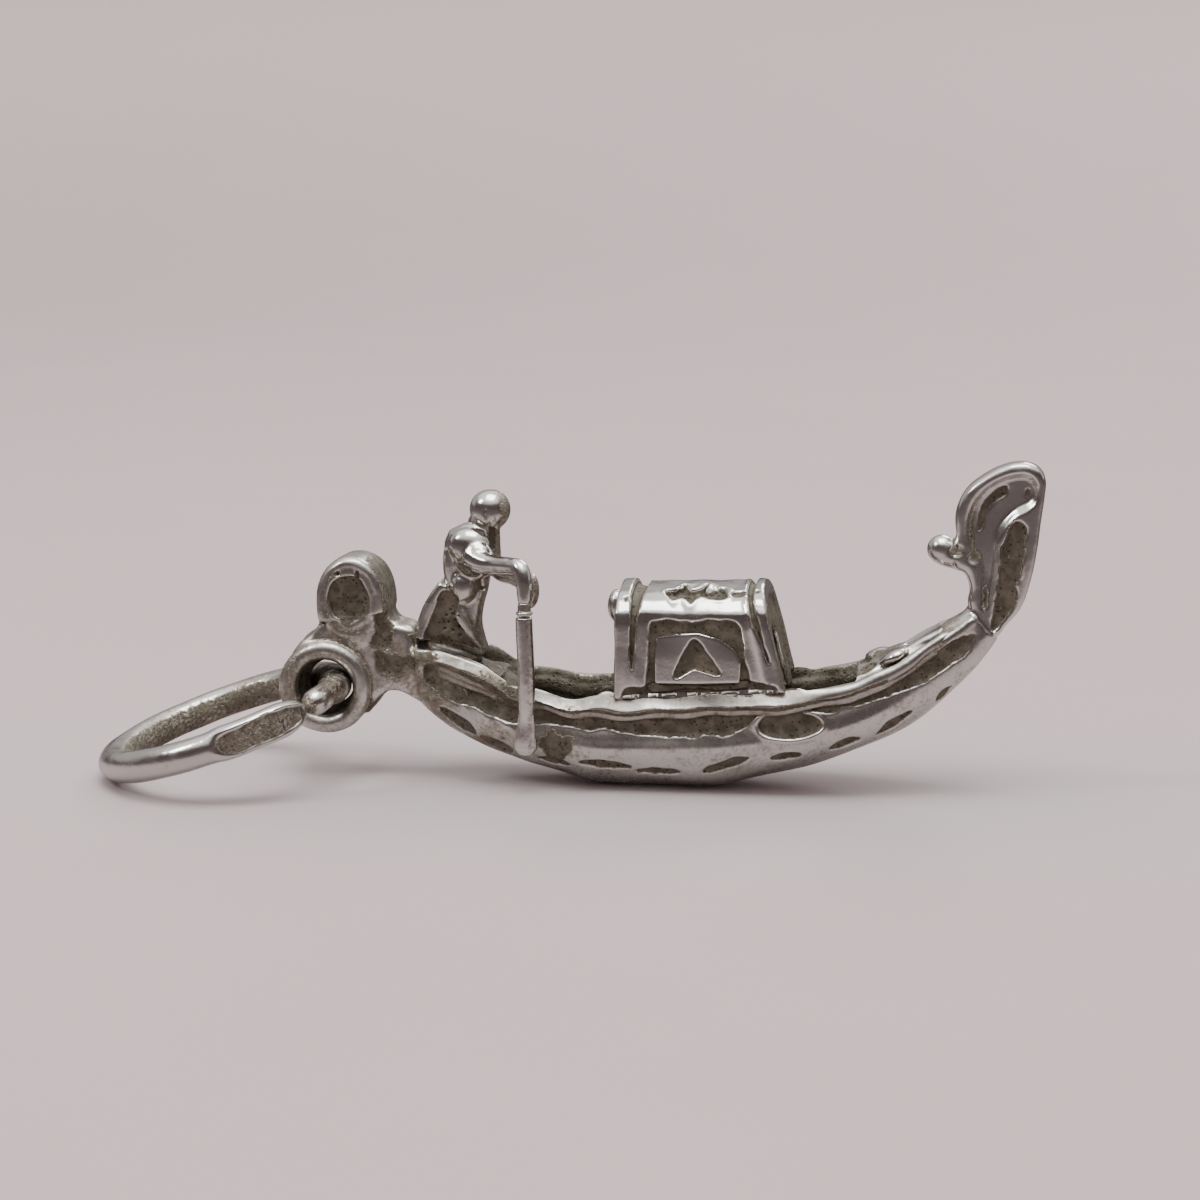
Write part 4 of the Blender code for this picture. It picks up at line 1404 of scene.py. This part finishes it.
@dataclass
class BoatCasting:
    """Hull, bow iron and stern, cast as one and cut where the assembly's joints are."""

    grain: float = 0.055
    soften: int = 9
    hull: Hull = field(default_factory=Hull)
    iron: BowIron = field(default_factory=BowIron)
    stern: Stern = field(default_factory=Stern)
    bow_joint: Point = (9.78, 0.0, 5.93)
    bow_normal: Point = (0.72, 0.0, 0.70)
    post_joint: Point = (-7.36, 0.0, 3.0)
    scroll_joint: Point = (-9.40, 0.0, 5.12)
    scroll_normal: Point = (-0.16, 0.0, 0.99)
    eye_joint: Point = (-9.36, 0.0, 3.81)
    eye_normal: Point = (-0.70, 0.0, -0.71)

    def build(self, charm: Charm) -> None:
        """Shapes the casting and cuts it up.

        Args:
            charm: The charm that it belongs to.
        """
        parts = self.hull.parts() + self.iron.parts() + self.stern.parts() + self.ends()
        body = skin(melt("hull_casting", parts), self.grain, self.soften)
        self.even_out(body)
        lumps(body, 0.018, 0.9, 3)
        press_marks(body, self.hull.marks() + self.iron.marks() + self.stern.marks(), 5)
        shade = np.maximum(self.hull.well_shade(body), self.stern.bore_shade(body))
        set_mask(body, "mark", np.maximum(get_mask(body, "mark"), shade))
        weather(body, Wear(hollow=0.7))
        self.grime(body)
        iron = split(body, "ferro_blade_casting", self.bow_joint, self.bow_normal)
        spur = split(iron, "ferro_spur_casting", self.iron.spur_cut, AFT)
        post = split(body, "stern_post_casting", self.post_joint, AFT)
        scroll = split(post, "stern_scroll_casting", self.scroll_joint, self.scroll_normal)
        eye = split(post, "stern_eye_casting", self.eye_joint, self.eye_normal)
        for obj, finish, node, joint in ((body, Finish.WORN, "hull", 0.55),
                                         (iron, Finish.POLISHED, "ferro_blade", 0.0),
                                         (spur, Finish.POLISHED, "ferro_spur", 0.0),
                                         (post, Finish.WORN, "stern_post", 0.0),
                                         (scroll, Finish.WORN, "stern_scroll", 0.0),
                                         (eye, Finish.WORN, "stern_eye", 0.0)):
            charm.finish(obj, finish, node, Wear(joint=joint), kin="boat")

    def ends(self) -> list[bpy.types.Object]:
        """The ends of rails and decks, which flow into the casting."""
        made = []
        for node in ("gunwale_starboard", "gunwale_port", "foredeck"):
            made.append(trimmed(node, node + "_end", (BOW_END, 0, 0), (-1, 0, 0)))
        for ridge in bow_ridges():
            made.append(split(ridge, "ridge_end", (BOW_END, 0, 0), (1, 0, 0)))
            bpy.data.objects.remove(ridge)
        for side in (-1, 1):
            ridge = stern_ridge(side)
            made.append(split(ridge, "ridge_heel", (STERN_END, 0, 0), (-1, 0, 0)))
            bpy.data.objects.remove(ridge)
        for node in ("gunwale_starboard", "gunwale_port", "stern_deck"):
            made.append(trimmed(node, node + "_heel", (STERN_END, 0, 0), (1, 0, 0)))
        made.append(pebble("bow_cheek", (10.02, 0.0, 5.42), (0.40, 0.60, 0.66), (0, 35, 0)))
        return made

    def even_out(self, obj: bpy.types.Object) -> None:
        """Smooths the hull's own long faces more than the ends.

        Args:
            obj: The casting.
        """
        spots, _ = read_skin(obj)
        softer = spread(obj, spots, 34)
        x = spots[:, 0]
        share = smooth_step(-8.6, -7.0, x) * smooth_step(10.9, 9.9, x + 0.5 * (spots[:, 2] - 5))
        write_spots(obj, spots + (softer - spots) * share[:, None])

    def grime(self, obj: bpy.types.Object) -> None:
        """Adds the dull film of the stern, which fades out amidships.

        Args:
            obj: The casting.
        """
        spots, _ = read_skin(obj)
        x = spots[:, 0]
        film = 0.22 * smooth_step(-3.2, -5.2, x)
        film -= 0.12 * smooth_step(-8.0, -8.6, x) * smooth_step(4.4, 5.2, spots[:, 2])
        film += 0.06 * smooth_step(9.4, 8.4, x) - 0.10 * smooth_step(9.6, 10.4, x)
        film += (0.08 + 0.12 * smooth_step(-3.2, -6.0, x)) * ripple(spots, 1.1, 17)
        # The bow iron's smooth hollow holds little tarnish.
        clean = smooth_step(9.9, 10.5, x) * smooth_step(0.5, 0.25, get_mask(obj, "mark"))
        set_mask(obj, "tarnish", get_mask(obj, "tarnish") * (1.0 - 0.65 * clean) + film)


# ---------------------------------------------------------------------------
# Gondolier and oar
# ---------------------------------------------------------------------------


@dataclass
class Gondolier:
    """The little rower: a ball head, a bent back, and both hands on the oar."""

    grain: float = 0.036
    head_at: Point = (-5.08, 0.0, 8.56)
    head_radius: float = 0.65
    neck_cut: Point = (-5.12, 0.0, 8.13)
    waist_cut: Point = (-5.9, 0.0, 5.62)
    arm_cut: Point = (-5.0, -1.1, 7.0)
    arm_normal: Point = (0.75, -0.66, 0.0)
    hands_cut: Point = (-3.9, -1.545, 6.4)
    hands_normal: Point = (0.78, 0.62, 0.0)

    def build(self, charm: Charm) -> None:
        """Shapes the rower as one skin, then cuts it at its joints.

        Args:
            charm: The charm that it belongs to.
        """
        parts = self.trunk() + self.legs() + self.arms()
        torso = skin(melt("gondolier_torso_casting", parts), self.grain, 18)
        lumps(torso, 0.016, 0.6, 71)
        press_marks(torso, self.marks(), 73)
        self.shade(torso)
        weather(torso, Wear(hollow=0.75))
        near = split(torso, "gondolier_arm_starboard_casting", self.arm_cut, self.arm_normal)
        far = split(near, "gondolier_arm_port_casting", self.hands_cut, self.hands_normal)
        head = split(torso, "gondolier_head_casting", self.neck_cut, UP)
        legs = split(torso, "gondolier_legs_casting", self.waist_cut, DOWN)
        for obj, finish, node, joint in (
                (torso, Finish.POLISHED, "gondolier_torso", 0.0),
                (head, Finish.POLISHED, "gondolier_head", 0.0),
                (legs, Finish.WORN, "gondolier_legs", 0.5),
                (near, Finish.POLISHED, "gondolier_arm_starboard", 0.2),
                (far, Finish.WORN, "gondolier_arm_port", 0.3)):
            charm.finish(obj, finish, node, Wear(joint=joint), kin="rower")

    def trunk(self) -> list[bpy.types.Object]:
        """Head, neck and torso."""
        x, y, z = self.head_at
        r = self.head_radius
        return [
            from_node("gondolier_torso", "torso_core"),
            pebble("head", (x, y, z), (r, r, r)),
            rod("neck", [(-5.16, 0.0, 8.40), (-5.10, 0.0, 7.9), (-5.06, 0.0, 7.5),
                         (-5.10, 0.0, 7.05)], [0.42, 0.33, 0.31, 0.38]),
            pebble("nape", (-5.56, 0.0, 8.22), (0.24, 0.22, 0.16)),
            pebble("shoulder_near", (-5.66, -0.46, 7.42), (0.68, 0.46, 0.62), (0, 20, 0)),
            pebble("chest", (-5.42, -0.66, 7.18), (0.66, 0.42, 0.50), (0, 14, -20)),
            pebble("breast", (-5.60, -0.52, 6.86), (0.50, 0.34, 0.50)),
            pebble("shoulder_far", (-5.66, 0.42, 7.50), (0.56, 0.36, 0.50)),
            pebble("belly", (-5.84, -0.40, 6.16), (0.46, 0.44, 0.56), (0, 8, 0)),
            rod("flank", [(-6.24, -0.30, 7.3), (-6.30, -0.38, 6.8), (-6.26, -0.30, 6.2)],
                [0.28, 0.24, 0.22]),
            pebble("front", (-5.36, 0.0, 6.7), (0.30, 0.36, 0.9))]

    def marks(self) -> list[Mark]:
        """The casting's folds, slots and pinholes."""
        web = ((-6.52, 6.02), (-6.05, 5.80), (-6.12, 5.2), (-5.92, 4.80), (-5.70, 4.44),
               (-5.36, 4.18), (-6.2, 4.26), (-7.05, 4.44), (-6.98, 4.95), (-6.76, 5.5))
        under_arm = ((-6.02, 6.96), (-5.60, 6.86), (-5.20, 6.72), (-5.20, 6.50), (-5.70, 6.62))
        neck_slot = ((-5.03, 7.96), (-4.90, 7.96), (-4.88, 7.55), (-4.94, 7.38), (-5.02, 7.55))
        return [
            Mark(under_arm, 0.08, slope=0.12, dark=0.5, facing=0.4),
            Mark(neck_slot, 0.06, slope=0.14, dark=0.9, facing=0.2),
            Mark(oval((-5.12, 8.50), (0.10, 0.20), 0), 0.03, slope=0.12, dark=0.35, facing=0.4,
                 side=-1),
            Mark(web, 0.08, slope=0.14, dark=0.9, grain=0.012, facing=0.35)] + self.pinholes()

    def shade(self, obj: bpy.types.Object) -> None:
        """Painted shade: brown darkening on the rower's fore side below the shoulders, and on the far
        arm behind the near one.

        Args:
            obj: The rower.
        """
        spots, facing = read_skin(obj)
        x, y, z = spots.T
        # Painted shade: the torso's fore-facing side under the arms, and the far arm, are darkened.
        front = smooth_step(0.3, 0.8, facing[:, 0]) * smooth_step(7.6, 7.0, z)
        front *= smooth_step(-4.9, -5.1, x)
        far = smooth_step(4.05, 3.9, -0.78 * x - 0.62 * y) * smooth_step(-5.0, -4.8, x)
        shade = np.maximum(0.62 * front, 0.55 * far)
        set_mask(obj, "mark", np.maximum(get_mask(obj, "mark"), shade))

    def legs(self) -> list[bpy.types.Object]:
        """A web with a bright ridge behind and the front leg before it."""
        parts = [from_node("gondolier_legs", "legs_core"),
                 pebble("sole", (-6.32, 0.0, 4.02), (1.02, 0.46, 0.34), (0, 16, 0))]
        for y in (-0.36, 0.36):
            parts.append(rod("back_leg", [(-6.50, y, 6.20), (-6.84, y, 5.72), (-7.14, y, 5.12),
                                          (-7.26, y, 4.45)], [0.20, 0.19, 0.19, 0.26]))
            parts.append(rod("front_leg", [(-6.00, y * 1.15, 5.62), (-5.88, y * 1.25, 5.2),
                                           (-5.66, y * 1.25, 4.7), (-5.50, y, 4.30)],
                             [0.15, 0.22, 0.20, 0.14]))
        return parts

    def pinholes(self) -> list[Mark]:
        """The casting's pinholes in the web between the legs."""
        spots = [(-6.28, 5.42), (-6.14, 5.10), (-6.36, 5.02), (-6.02, 4.88), (-6.22, 4.76),
                 (-6.48, 4.80), (-6.02, 5.26), (-6.20, 5.28), (-5.98, 4.60), (-6.42, 5.24)]
        return [Mark(oval(spot, (0.035, 0.035)), 0.10, slope=0.05, wobble=0.0, facing=0.4)
                for spot in spots]

    def arms(self) -> list[bpy.types.Object]:
        """The near arm bent over the oar, and the far one whose hand is behind it."""
        return [
            rod("near_arm", [(-5.55, -0.66, 7.16), (-5.10, -1.00, 7.03), (-4.58, -1.42, 7.04),
                             (-4.10, -1.84, 7.10), (-3.78, -2.12, 7.04), (-3.65, -2.26, 6.72),
                             (-3.62, -2.32, 6.30), (-3.62, -2.34, 6.02)],
                [0.42, 0.36, 0.29, 0.27, 0.28, 0.27, 0.25, 0.22]),
            rod("far_arm", [(-5.10, 0.10, 6.86), (-4.62, -0.50, 6.66), (-4.15, -1.10, 6.62),
                            (-3.70, -1.60, 6.50)], [0.36, 0.31, 0.27, 0.26]),
            pebble("far_hand", (-3.50, -1.82, 6.34), (0.26, 0.36, 0.56), (0, 4, 20))]


@dataclass
class Oar:
    """The upright oar: shaft, collar and a long narrow blade."""

    at: Flat = (-3.60, -2.34)
    blade_top: float = 2.57
    grain: float = 0.034

    def build(self, charm: Charm) -> None:
        """Shapes the oar.

        Args:
            charm: The charm that it belongs to.
        """
        x, y = self.at
        _, high = node_box("oar_shaft")
        shaft = rod("shaft", [(x - 0.03, y, high.z - 0.02), (x, y, 4.6), (x + 0.03, y, 3.6),
                              (x + 0.03, y + 0.03, 2.7), (x + 0.02, y + 0.06, 2.2)],
                    [0.26, 0.275, 0.285, 0.26, 0.20])
        blade = rod("blade", [(x + 0.03, -2.30, 2.75), (x + 0.02, -2.29, 2.2), (x, -2.27, 1.7),
                              (x, -2.25, 1.44), (x, -2.25, 1.24)],
                    [0.25, 0.29, 0.36, 0.38, 0.22], (1.0, 0.72, 1.0))
        obj = skin(melt("oar_shaft_casting", [shaft, blade]), self.grain, 8)
        lumps(obj, 0.010, 0.8, 85)
        # Painted shade: the oar's fore- and aft-facing sides are darkened, leaving the sides that
        # face across the boat bright.
        _, facing = read_skin(obj)
        set_mask(obj, "mark", 0.34 * smooth_step(-0.05, 0.45, facing[:, 0])
                 + 0.40 * smooth_step(-0.55, -0.92, facing[:, 0]))
        weather(obj, Wear(base=-0.08, hollow=0.5))
        lower = split(obj, "oar_blade_casting", (x, y, self.blade_top), DOWN)
        for piece, node in ((obj, "oar_shaft"), (lower, "oar_blade")):
            charm.finish(piece, Finish.POLISHED, node, Wear(joint=0.10), kin="oar")
        low, high = node_box("oar_collar")
        middle = (low + high) / 2
        collar = melt("oar_collar_casting", [
            pebble("collar", (x - 0.02, y, middle.z - 0.01), (0.27, 0.27, 0.10)),
            rod("grip", [(x - 0.02, y, middle.z), (x - 0.02, y, middle.z + 0.32)], [0.21, 0.20])])
        obj = skin(collar, 0.03, 3)
        charm.finish(obj, Finish.WORN, "oar_collar", Wear(base=0.35, hollow=0.5, joint=0.4))


# ---------------------------------------------------------------------------
# Jump ring
# ---------------------------------------------------------------------------


@dataclass
class JumpRing:
    """The wire ring in the stern's eye: a blank pad on its outer side, and its closed gap."""

    radius: float = 3.72
    wire: float = 0.50
    reach: float = 3.57
    drop: float = 18.75
    yaw: float = 20.0
    roll: float = 2.4
    pad: Flat = (80.0, 125.0)
    gap: float = 129.0

    def build(self, charm: Charm) -> None:
        """Shapes the ring.

        Args:
            charm: The charm that it belongs to.
        """
        only_nothing()
        bpy.ops.mesh.primitive_torus_add(major_radius=self.radius, minor_radius=self.wire,
                                         major_segments=420, minor_segments=56)
        obj = bpy.context.object
        obj.name = "jump_ring_wire"
        self.shape(obj)
        obj.matrix_world = self.place()
        apply_place(obj)
        soften(obj, 3)
        lumps(obj, 0.012, 0.9, 91)
        charm.finish(obj, Finish.WIRE, "jump_ring", Wear(base=-0.02, hollow=0.6, joint=0.0),
                     body="ring")

    def place(self) -> Matrix:
        """The ring's own frame, with its far end on the ground."""
        turn = Matrix.Rotation(-math.radians(self.drop), 4, "Y")
        turn @= Matrix.Rotation(math.radians(self.roll), 4, "X")
        turn @= Matrix.Rotation(math.radians(self.yaw) + math.pi, 4, "Z")
        eye = Vector(frame_joint("ring_swing")["pos_m"]) * SHAPING
        centre = eye + turn.to_3x3() @ Vector((self.reach, 0.0, 0.0))
        return Matrix.Translation(centre) @ turn

    def shape(self, obj: bpy.types.Object) -> None:
        """Flattens the pad, closes the gap to a nick, and darkens the inner side as painted shade,
        with its upper edge left bright as a painted highlight.

        Args:
            obj: The plain ring, in its own frame.
        """
        spots, _ = read_skin(obj)
        angle = np.degrees(np.arctan2(spots[:, 1], spots[:, 0]))
        way = spots[:, :2] / np.linalg.norm(spots[:, :2], axis=1)[:, None]
        out = np.linalg.norm(spots[:, :2], axis=1) - self.radius
        up = spots[:, 2]
        along = (angle - self.pad[0]) / (self.pad[1] - self.pad[0])
        on_pad = smooth_step(-0.06, 0.10, along) * smooth_step(1.04, 0.92, along)
        point = smooth_step(0.74, 1.06, along) * smooth_step(self.gap + 9, self.gap + 1, angle)
        slim = 1.0 - 0.50 * np.exp(-(((angle - self.gap) / 2.6) ** 2)) - 0.26 * point
        cone = smooth_step(self.gap, self.gap + 4, angle) * smooth_step(158, 150, angle)
        slim -= 0.16 * cone
        out, up = out * slim, up * slim * (1.0 + 0.10 * on_pad)
        flat = 0.30 + 0.02 * ripple(spots, 0.6, 92)
        pressed = np.where(out > flat, flat + 0.12 * (out - flat), out)
        out = out + (pressed - out) * on_pad
        reach = 0.40 * np.sqrt(np.clip(1.0 - np.abs(2.0 * along - 1.0) ** 3, 0.0, 1.0))
        sunk = smooth_step(0.03, -0.05, np.abs(up) - reach + 0.05 * ripple(spots, 0.4, 93))
        sunk *= on_pad * (out > 0.1)
        out = out - 0.07 * sunk * (1.0 + 0.3 * ripple(spots, 0.28, 94))
        spots[:, :2] = way * (self.radius + out)[:, None]
        spots[:, 2] = up
        write_spots(obj, spots)
        # Painted shade on the ring's inner side; its upper edge is spared as a painted highlight.
        inner = 0.70 * smooth_step(0.10, -0.40, out / self.wire)
        inner *= 1.0 - 0.70 * smooth_step(0.48, 0.86, up / self.wire)
        inner += 0.08 * ripple(spots, 0.9, 95)
        tip = smooth_step(self.gap, self.gap + 3, angle) * smooth_step(172, 160, angle)
        inner = np.maximum(inner, (0.46 + 0.20 * ripple(spots, 0.30, 96)) * tip)
        dark = np.maximum(inner, 0.66 * sunk)
        dark = np.maximum(dark, 0.50 * smooth_step(136, 146, np.abs(angle)))
        set_mask(obj, "mark", dark)


# ---------------------------------------------------------------------------
# Studio
# ---------------------------------------------------------------------------


@dataclass
class Studio:
    """A pale seamless sweep, soft lights and the camera."""

    tint: Point = (0.575, 0.470, 0.472)
    azimuth: float = 8.0
    elevation: float = 10.5
    distance: float = 90.0
    lens: float = 85.95
    target: Point = (-1.6, 0.0, 5.76)
    film_width: float = 36.0
    floor_drop: float = 0.015
    floor_radius: float = 150.0
    wall_radius: float = 260.0
    wall_height: float = 46.0
    wall_steps: int = 12

    def build(self) -> None:
        """Sets up the studio."""
        self.sweep()
        self.lights()
        self.world()
        self.camera()

    def sweep(self) -> None:
        """A round table that curves up into a low wall on every side."""
        only_nothing()
        bpy.ops.mesh.primitive_circle_add(vertices=160, radius=self.floor_radius * MM,
                                          fill_type="NGON",
                                          location=(0.0, 0.0, -self.floor_drop * MM))
        floor = bpy.context.object
        floor.name = "sweep"
        apply_place(floor)
        with editing(floor):
            bpy.ops.mesh.select_mode(type="EDGE")
            self.raise_wall(floor)
        bpy.ops.object.shade_smooth()
        floor.data.materials.append(self.paper())

    def raise_wall(self, floor: bpy.types.Object) -> None:
        """Extrudes the sweep's rim outwards and up, in edit mode, along a quarter of an ellipse.

        Args:
            floor: The sweep.
        """
        reach, height = self.floor_radius, 0.0
        for i in range(1, self.wall_steps + 1):
            turn = math.pi / 2 * i / self.wall_steps
            radius = self.floor_radius + (self.wall_radius - self.floor_radius) * math.sin(turn)
            rise = self.wall_height * (1 - math.cos(turn))
            bpy.ops.mesh.select_all(action="DESELECT")
            self.select_rim(floor, reach * MM)
            bpy.ops.mesh.extrude_edges_move(
                TRANSFORM_OT_translate={"value": (0, 0, (rise - height) * MM)})
            bpy.ops.transform.resize(value=(radius / reach, radius / reach, 1.0),
                                     center_override=(0.0, 0.0, rise * MM))
            reach, height = radius, rise

    def select_rim(self, floor: bpy.types.Object, radius: float) -> None:
        """Selects the sweep's outermost ring of edges, in edit mode.

        Args:
            floor: The sweep.
            radius: The ring's radius in metres.
        """
        bpy.ops.object.mode_set(mode="OBJECT")
        for edge in floor.data.edges:
            ends = [floor.data.vertices[i].co for i in edge.vertices]
            edge.select = all(abs(math.hypot(p.x, p.y) - radius) < 1e-5 for p in ends)
        bpy.ops.object.mode_set(mode="EDIT")

    def paper(self) -> bpy.types.Material:
        """The sweep's pale, slightly pink paper."""
        material = bpy.data.materials.new("pale_paper")
        material.use_nodes = True
        n = Nodes(material.node_tree)
        shader = material.node_tree.nodes["Principled BSDF"]
        place = n.add("ShaderNodeTexCoord").outputs["Object"]
        mottle = n.add("ShaderNodeTexNoise", {"Vector": place, "Scale": 60.0, "Detail": 4.0})
        tone = n.mix(mottle.outputs["Fac"], rgb(*[c * 0.97 for c in self.tint]),
                     rgb(*[c * 1.03 for c in self.tint]))
        # Painted shade in reflections: glossy rays see the paper darken with distance from the charm,
        # so the silver reflects dark paper beyond its near surroundings.
        spread_out = n.add("ShaderNodeVectorMath", {0: place, 1: (0.45, 1.0, 1.0)},
                           operation="MULTIPLY").outputs["Vector"]
        away = n.add("ShaderNodeVectorMath", {0: spread_out}, operation="LENGTH").outputs["Value"]
        shade = n.plus(0.28, n.times(n.step(away, 0.002, 0.027), 0.62))
        # Painted shadow tint: near the boat the paper is made less pink, so the contact shadow there
        # reads grey rather than red.
        near = n.mix(0.5, rgb(0.50, 0.485, 0.485), rgb(*self.tint))
        tone = n.mix(n.step(away, 0.004, 0.014), near, tone)
        rise = n.add("ShaderNodeSeparateXYZ", {0: place}).outputs["Z"]
        tone = n.mix(n.times(n.step(rise, 0.0, 0.03), 0.55), tone,
                     rgb(*[c * 1.5 for c in self.tint]))
        # The painted shade is seen by glossy rays only.
        gloss = n.add("ShaderNodeLightPath").outputs["Is Glossy Ray"]
        tone = n.mix(n.times(shade, gloss), tone, rgb(0.02, 0.018, 0.018))
        n.tree.links.new(tone, shader.inputs["Base Color"])
        shader.inputs["Roughness"].default_value = 0.9
        shader.inputs["Specular IOR Level"].default_value = 0.1
        # From below, the lens looks through the table.
        under = n.times(n.add("ShaderNodeNewGeometry").outputs["Backfacing"],
                        n.add("ShaderNodeLightPath").outputs["Is Camera Ray"])
        clear = n.add("ShaderNodeBsdfTransparent").outputs[0]
        shown = n.add("ShaderNodeMixShader", {0: under, 1: shader.outputs[0], 2: clear})
        n.tree.links.new(shown.outputs[0],
                         material.node_tree.nodes["Material Output"].inputs["Surface"])
        return material

    def lights(self) -> None:
        """A soft light overhead, and two small ones that draw the crisp highlights."""
        self.area("overhead", (0, -30, 240), (0, 0, 0), 150, 0.42)
        self.area("left_pane", (-150, -60, 150), (0, 0, 4), 50, 0.10)
        self.area("back_pane", (60, 200, 150), (0, 0, 4), 90, 0.16)

    def area(self, name: str, at: Point, towards: Point, size: float, power: float) -> None:
        """Adds a square soft light.

        Args:
            name: Its name.
            at: Its place, in millimetres.
            towards: What it is turned to.
            size: Its side, in millimetres.
            power: Its strength in watts.
        """
        data = bpy.data.lights.new(name, "AREA")
        data.energy = power
        data.size = size * MM
        lamp = bpy.data.objects.new(name, data)
        lamp.location = Vector(at) * MM
        aim = Vector(towards) - Vector(at)
        lamp.rotation_euler = aim.to_track_quat("-Z", "Y").to_euler()
        bpy.context.scene.collection.objects.link(lamp)

    def world(self) -> None:
        """A dark room before the silver, a paler one behind it and a bright ceiling.

        The lens itself sees only the paper's colour beyond the sweep.
        """
        world = bpy.data.worlds.new("room")
        bpy.context.scene.world = world
        world.use_nodes = True
        n = Nodes(world.node_tree)
        way = n.add("ShaderNodeTexCoord").outputs["Generated"]
        axes = n.add("ShaderNodeSeparateXYZ", {0: way}).outputs
        behind = n.step(axes["Y"], -0.25, 0.35)
        room = n.mix(behind, rgb(0.085, 0.066, 0.066), rgb(0.46, 0.43, 0.43))
        diffuse = n.add("ShaderNodeLightPath").outputs["Is Diffuse Ray"]
        room = n.mix(n.times(diffuse, 0.7), room, rgb(0.52, 0.49, 0.49))
        room = n.mix(n.step(axes["Z"], 0.50, 0.86), room, rgb(1.30, 1.25, 1.24))
        lens = n.add("ShaderNodeLightPath").outputs["Is Camera Ray"]
        seen = n.mix(lens, room, rgb(*[c * 1.05 for c in self.tint]))
        back = world.node_tree.nodes["Background"]
        n.tree.links.new(seen, back.inputs["Color"])
        back.inputs["Strength"].default_value = 1.0

    def camera(self) -> None:
        """The camera, low over the starboard side."""
        data = bpy.data.cameras.new("camera")
        data.lens = self.lens
        data.sensor_width = self.film_width
        data.clip_start = 0.001
        data.clip_end = 10.0
        camera = bpy.data.objects.new("camera", data)
        bpy.context.scene.collection.objects.link(camera)
        around, up = math.radians(self.azimuth), math.radians(self.elevation)
        back = Vector((math.sin(around) * math.cos(up), -math.cos(around) * math.cos(up),
                       math.sin(up)))
        camera.location = (Vector(self.target) + back * self.distance) * MM
        camera.rotation_euler = (-back).to_track_quat("-Z", "Y").to_euler()
        bpy.context.scene.camera = camera


def main() -> None:
    """Builds the charm's pieces in order, then the studio."""
    logging.basicConfig(level=logging.INFO, format="%(message)s")
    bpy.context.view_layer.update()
    charm = Charm()
    charm.prepare()
    for assembly in (BoatCasting(), Rails(), Decks(), Cabin(), Gondolier(), Oar(), JumpRing()):
        log.info("building %s", type(assembly).__name__)
        assembly.build(charm)
    charm.darken_joints()
    charm.deliver()
    Studio().build()


if __name__ == "__main__":
    main()
